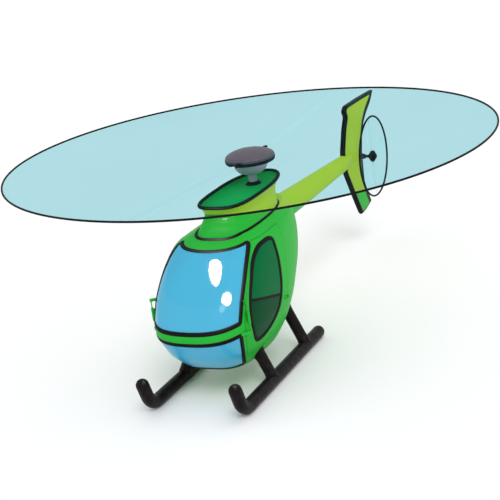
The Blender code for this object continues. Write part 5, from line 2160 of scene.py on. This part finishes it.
    def block(self, word: str, low: Array, high: Array, base: Array, lean: Array, ahead: Array) -> Shell:
        """Smaller block that a cushion starts from.

        Args:
            word: "seat" or "back".
            low: Low corner of the left cushion's box.
            high: High corner of that box.
            base: Foot of the seat back's front.
            lean: Direction up the seat back.
            ahead: Direction out of the seat back.

        Returns:
            The block.
        """
        cut = self.shrink
        if word == "seat":
            corners = [(low[1] + cut, low[2] + 0.001), (high[1] - cut, low[2] + 0.001),
                       (high[1] - cut, high[2] - cut * 1.6), (low[1] + cut, high[2] - cut * 1.6)]
        else:
            start = (low[2] + cut - base[2]) / lean[2]
            end = (high[2] - cut - base[2]) / lean[2]
            thick = 0.078 - cut * 1.6
            spots = [base + start * lean + 0.001 * ahead, base + end * lean + 0.001 * ahead,
                     base + end * lean + thick * ahead, base + start * lean + thick * ahead]
            corners = [(spot[1], spot[2]) for spot in spots]
        outline = rounded(corners, 0.02, closed=True)
        return Shell().tube(rounded_prism(outline, low[0] + cut, high[0] - cut, 0.02))

    def set_cushion(self, form: Mesh, word: str, side: Side) -> None:
        """Args:
            form: Mesh of the left cushion.
            word: "seat" or "back".
            side: Side that it is for.
        """
        mesh = form.copy()
        if side is Side.RIGHT:
            mesh.transform(Matrix.Diagonal((-1.0, 1.0, 1.0, 1.0)))
            mesh.flip_normals()
        mesh.shade_smooth()
        name = f"{word}_cushion_{side.word}"
        piece = place_object(f"{word}_pad_{side.word}", mesh)
        smooth = piece.modifiers.new("smooth", "SUBSURF")
        smooth.levels = smooth.render_levels = 1
        settle(piece, SEAT_CLOTH, name)


@dataclass(frozen=True)
class Highlight:
    """An upright white oval of the drawing: its place on the windshield and its half sizes in pixels."""

    name: str
    angle: float
    height: float
    half_width: float
    half_height: float


@dataclass
class Studio:
    """Pale floor, even light and the camera at the drawing's angle."""

    floor_half: float = 150.0
    sky: float = 0.93
    sun_from: Point = (7.0, -9.0, 13.0)
    sun_strength: float = 0.9
    sun_spread: float = 25.0
    azimuth: float = 27.0
    elevation: float = 17.677
    roll: float = 8.401
    camera_place: Point = (7.822, -16.588, 7.003)
    focal_pixels: float = 1273.6
    image_width: float = 500.0
    sensor: float = 36.0
    lamp_distance: float = 1.0
    lamp_glow: float = 230.0
    lamp_turn: float = 3.5
    lamp_rise: float = 0.12
    highlights: tuple[Highlight, ...] = (
        Highlight("upper_highlight", 21.1, 1.749, 6.1, 13.5),
        Highlight("lower_highlight", 35.5, 1.479, 5.0, 6.8),
    )

    def build(self) -> None:
        """Builds floor, light and camera."""
        self.floor()
        self.light()
        self.camera()
        bpy.context.scene.view_settings.view_transform = "Standard"

    def floor(self) -> None:
        """Large flat floor that the skids stand on."""
        rows = np.linspace(-self.floor_half, self.floor_half, 9)
        shell = Shell()
        shell.grid(pack(rows[:, None], rows[None], 0.0))
        item = place_object("studio_floor", shell.mesh("studio_floor"))
        cover(item, StudioFloor("studio_floor", (244, 245, 246), roughness=0.7))

    def light(self) -> None:
        """White surroundings, one broad distant lamp, and the two softboxes that the windshield mirrors."""
        world = bpy.data.worlds.new("studio")
        world.use_nodes = True
        Wiring(world.node_tree).fill(world.node_tree.nodes["Background"].inputs,
                                     {"Color": (1.0, 1.0, 1.0, 1.0), "Strength": self.sky})
        bpy.context.scene.world = world
        data = bpy.data.lights.new("key", "SUN")
        data.energy, data.angle = self.sun_strength, math.radians(self.sun_spread)
        key = place_object("key", data)
        key.rotation_euler = Vector(self.sun_from).to_track_quat("Z", "Y").to_euler()
        for mark in self.highlights:
            self.softbox(mark)

    def softbox(self, mark: Highlight) -> None:
        """Oval lamp whose mirror image on the windshield is a highlight of the drawing.

        Steps about as long as the oval give how pixels move in the image and how the mirrored rays move on
        the lamp's plane; the one undone and the other done turn the drawn oval into the lamp's.

        Args:
            mark: The highlight.
        """
        angle = mark.angle + self.lamp_turn * np.array([0.0, 1.0, -1.0, 0.0, 0.0])
        height = mark.height + self.lamp_rise * np.array([0.0, 0.0, 0.0, 1.0, -1.0])
        spots, out = HULL.at(angle, height), HULL.normal(angle, height, HULL.polish_rise)
        sight = unit(spots - self.camera_place)
        rays = sight - 2 * (sight * out).sum(axis=1, keepdims=True) * out
        place, back = spots[0] + self.lamp_distance * rays[0], rays[0]
        reach = (place - spots) @ back / (rays @ back)
        met, pixels = spots + reach[:, None] * rays, self.in_image(spots)
        moves, pixels = met[1::2] - met[2::2], pixels[1::2] - pixels[2::2]
        oval = np.diag([mark.half_width, mark.half_height]) @ np.linalg.inv(pixels) @ moves
        halves, lines = np.linalg.svd(oval, full_matrices=False)[1:]
        data = bpy.data.lights.new(mark.name, "AREA")
        data.shape = "ELLIPSE"
        data.size, data.size_y = 2 * halves
        data.energy = self.lamp_glow * math.pi * halves.prod()
        lamp = place_object(mark.name, data, (lines[0], np.cross(back, lines[0]), back), place)
        lamp.visible_diffuse = False

    def axes(self) -> tuple[Array, Array, Array]:
        """Camera's right, up and backward: turned about the vertical, tipped down and rolled.

        Returns:
            The three directions.
        """
        a, e, r = (math.radians(value) for value in (self.azimuth, self.elevation, self.roll))
        right = np.array([math.cos(a), math.sin(a), 0.0])
        back = np.array([math.sin(a) * math.cos(e), -math.cos(a) * math.cos(e), math.sin(e)])
        up = np.cross(back, right)
        return right * math.cos(r) - up * math.sin(r), right * math.sin(r) + up * math.cos(r), back

    def in_image(self, points: Array) -> Array:
        """Pixels of points, to the right of and over the image's middle."""
        offset = (points - self.camera_place) @ np.transpose(self.axes())
        return self.focal_pixels * offset[:, :2] / -offset[:, 2:]

    def camera(self) -> None:
        """Camera that looks as the drawn rotor disc shows."""
        data = bpy.data.cameras.new("camera")
        data.sensor_width = self.sensor
        data.lens = self.focal_pixels / self.image_width * self.sensor
        data.clip_end = 1000.0
        bpy.context.scene.camera = place_object("camera", data, self.axes(), self.camera_place)


def main() -> None:
    """Builds the helicopter's pieces in order, then the studio round it."""
    logging.basicConfig(level=logging.INFO, format="%(message)s")
    assemblies = [Studio(), CabinShell(), Door(Side.LEFT), Door(Side.RIGHT), RotorCowl(), MainRotor(),
                  Tail(), LandingGear(), Cabin()]
    for assembly in assemblies:
        LOG.info("building %s", type(assembly).__name__)
        assembly.build()


if __name__ == "__main__":
    main()
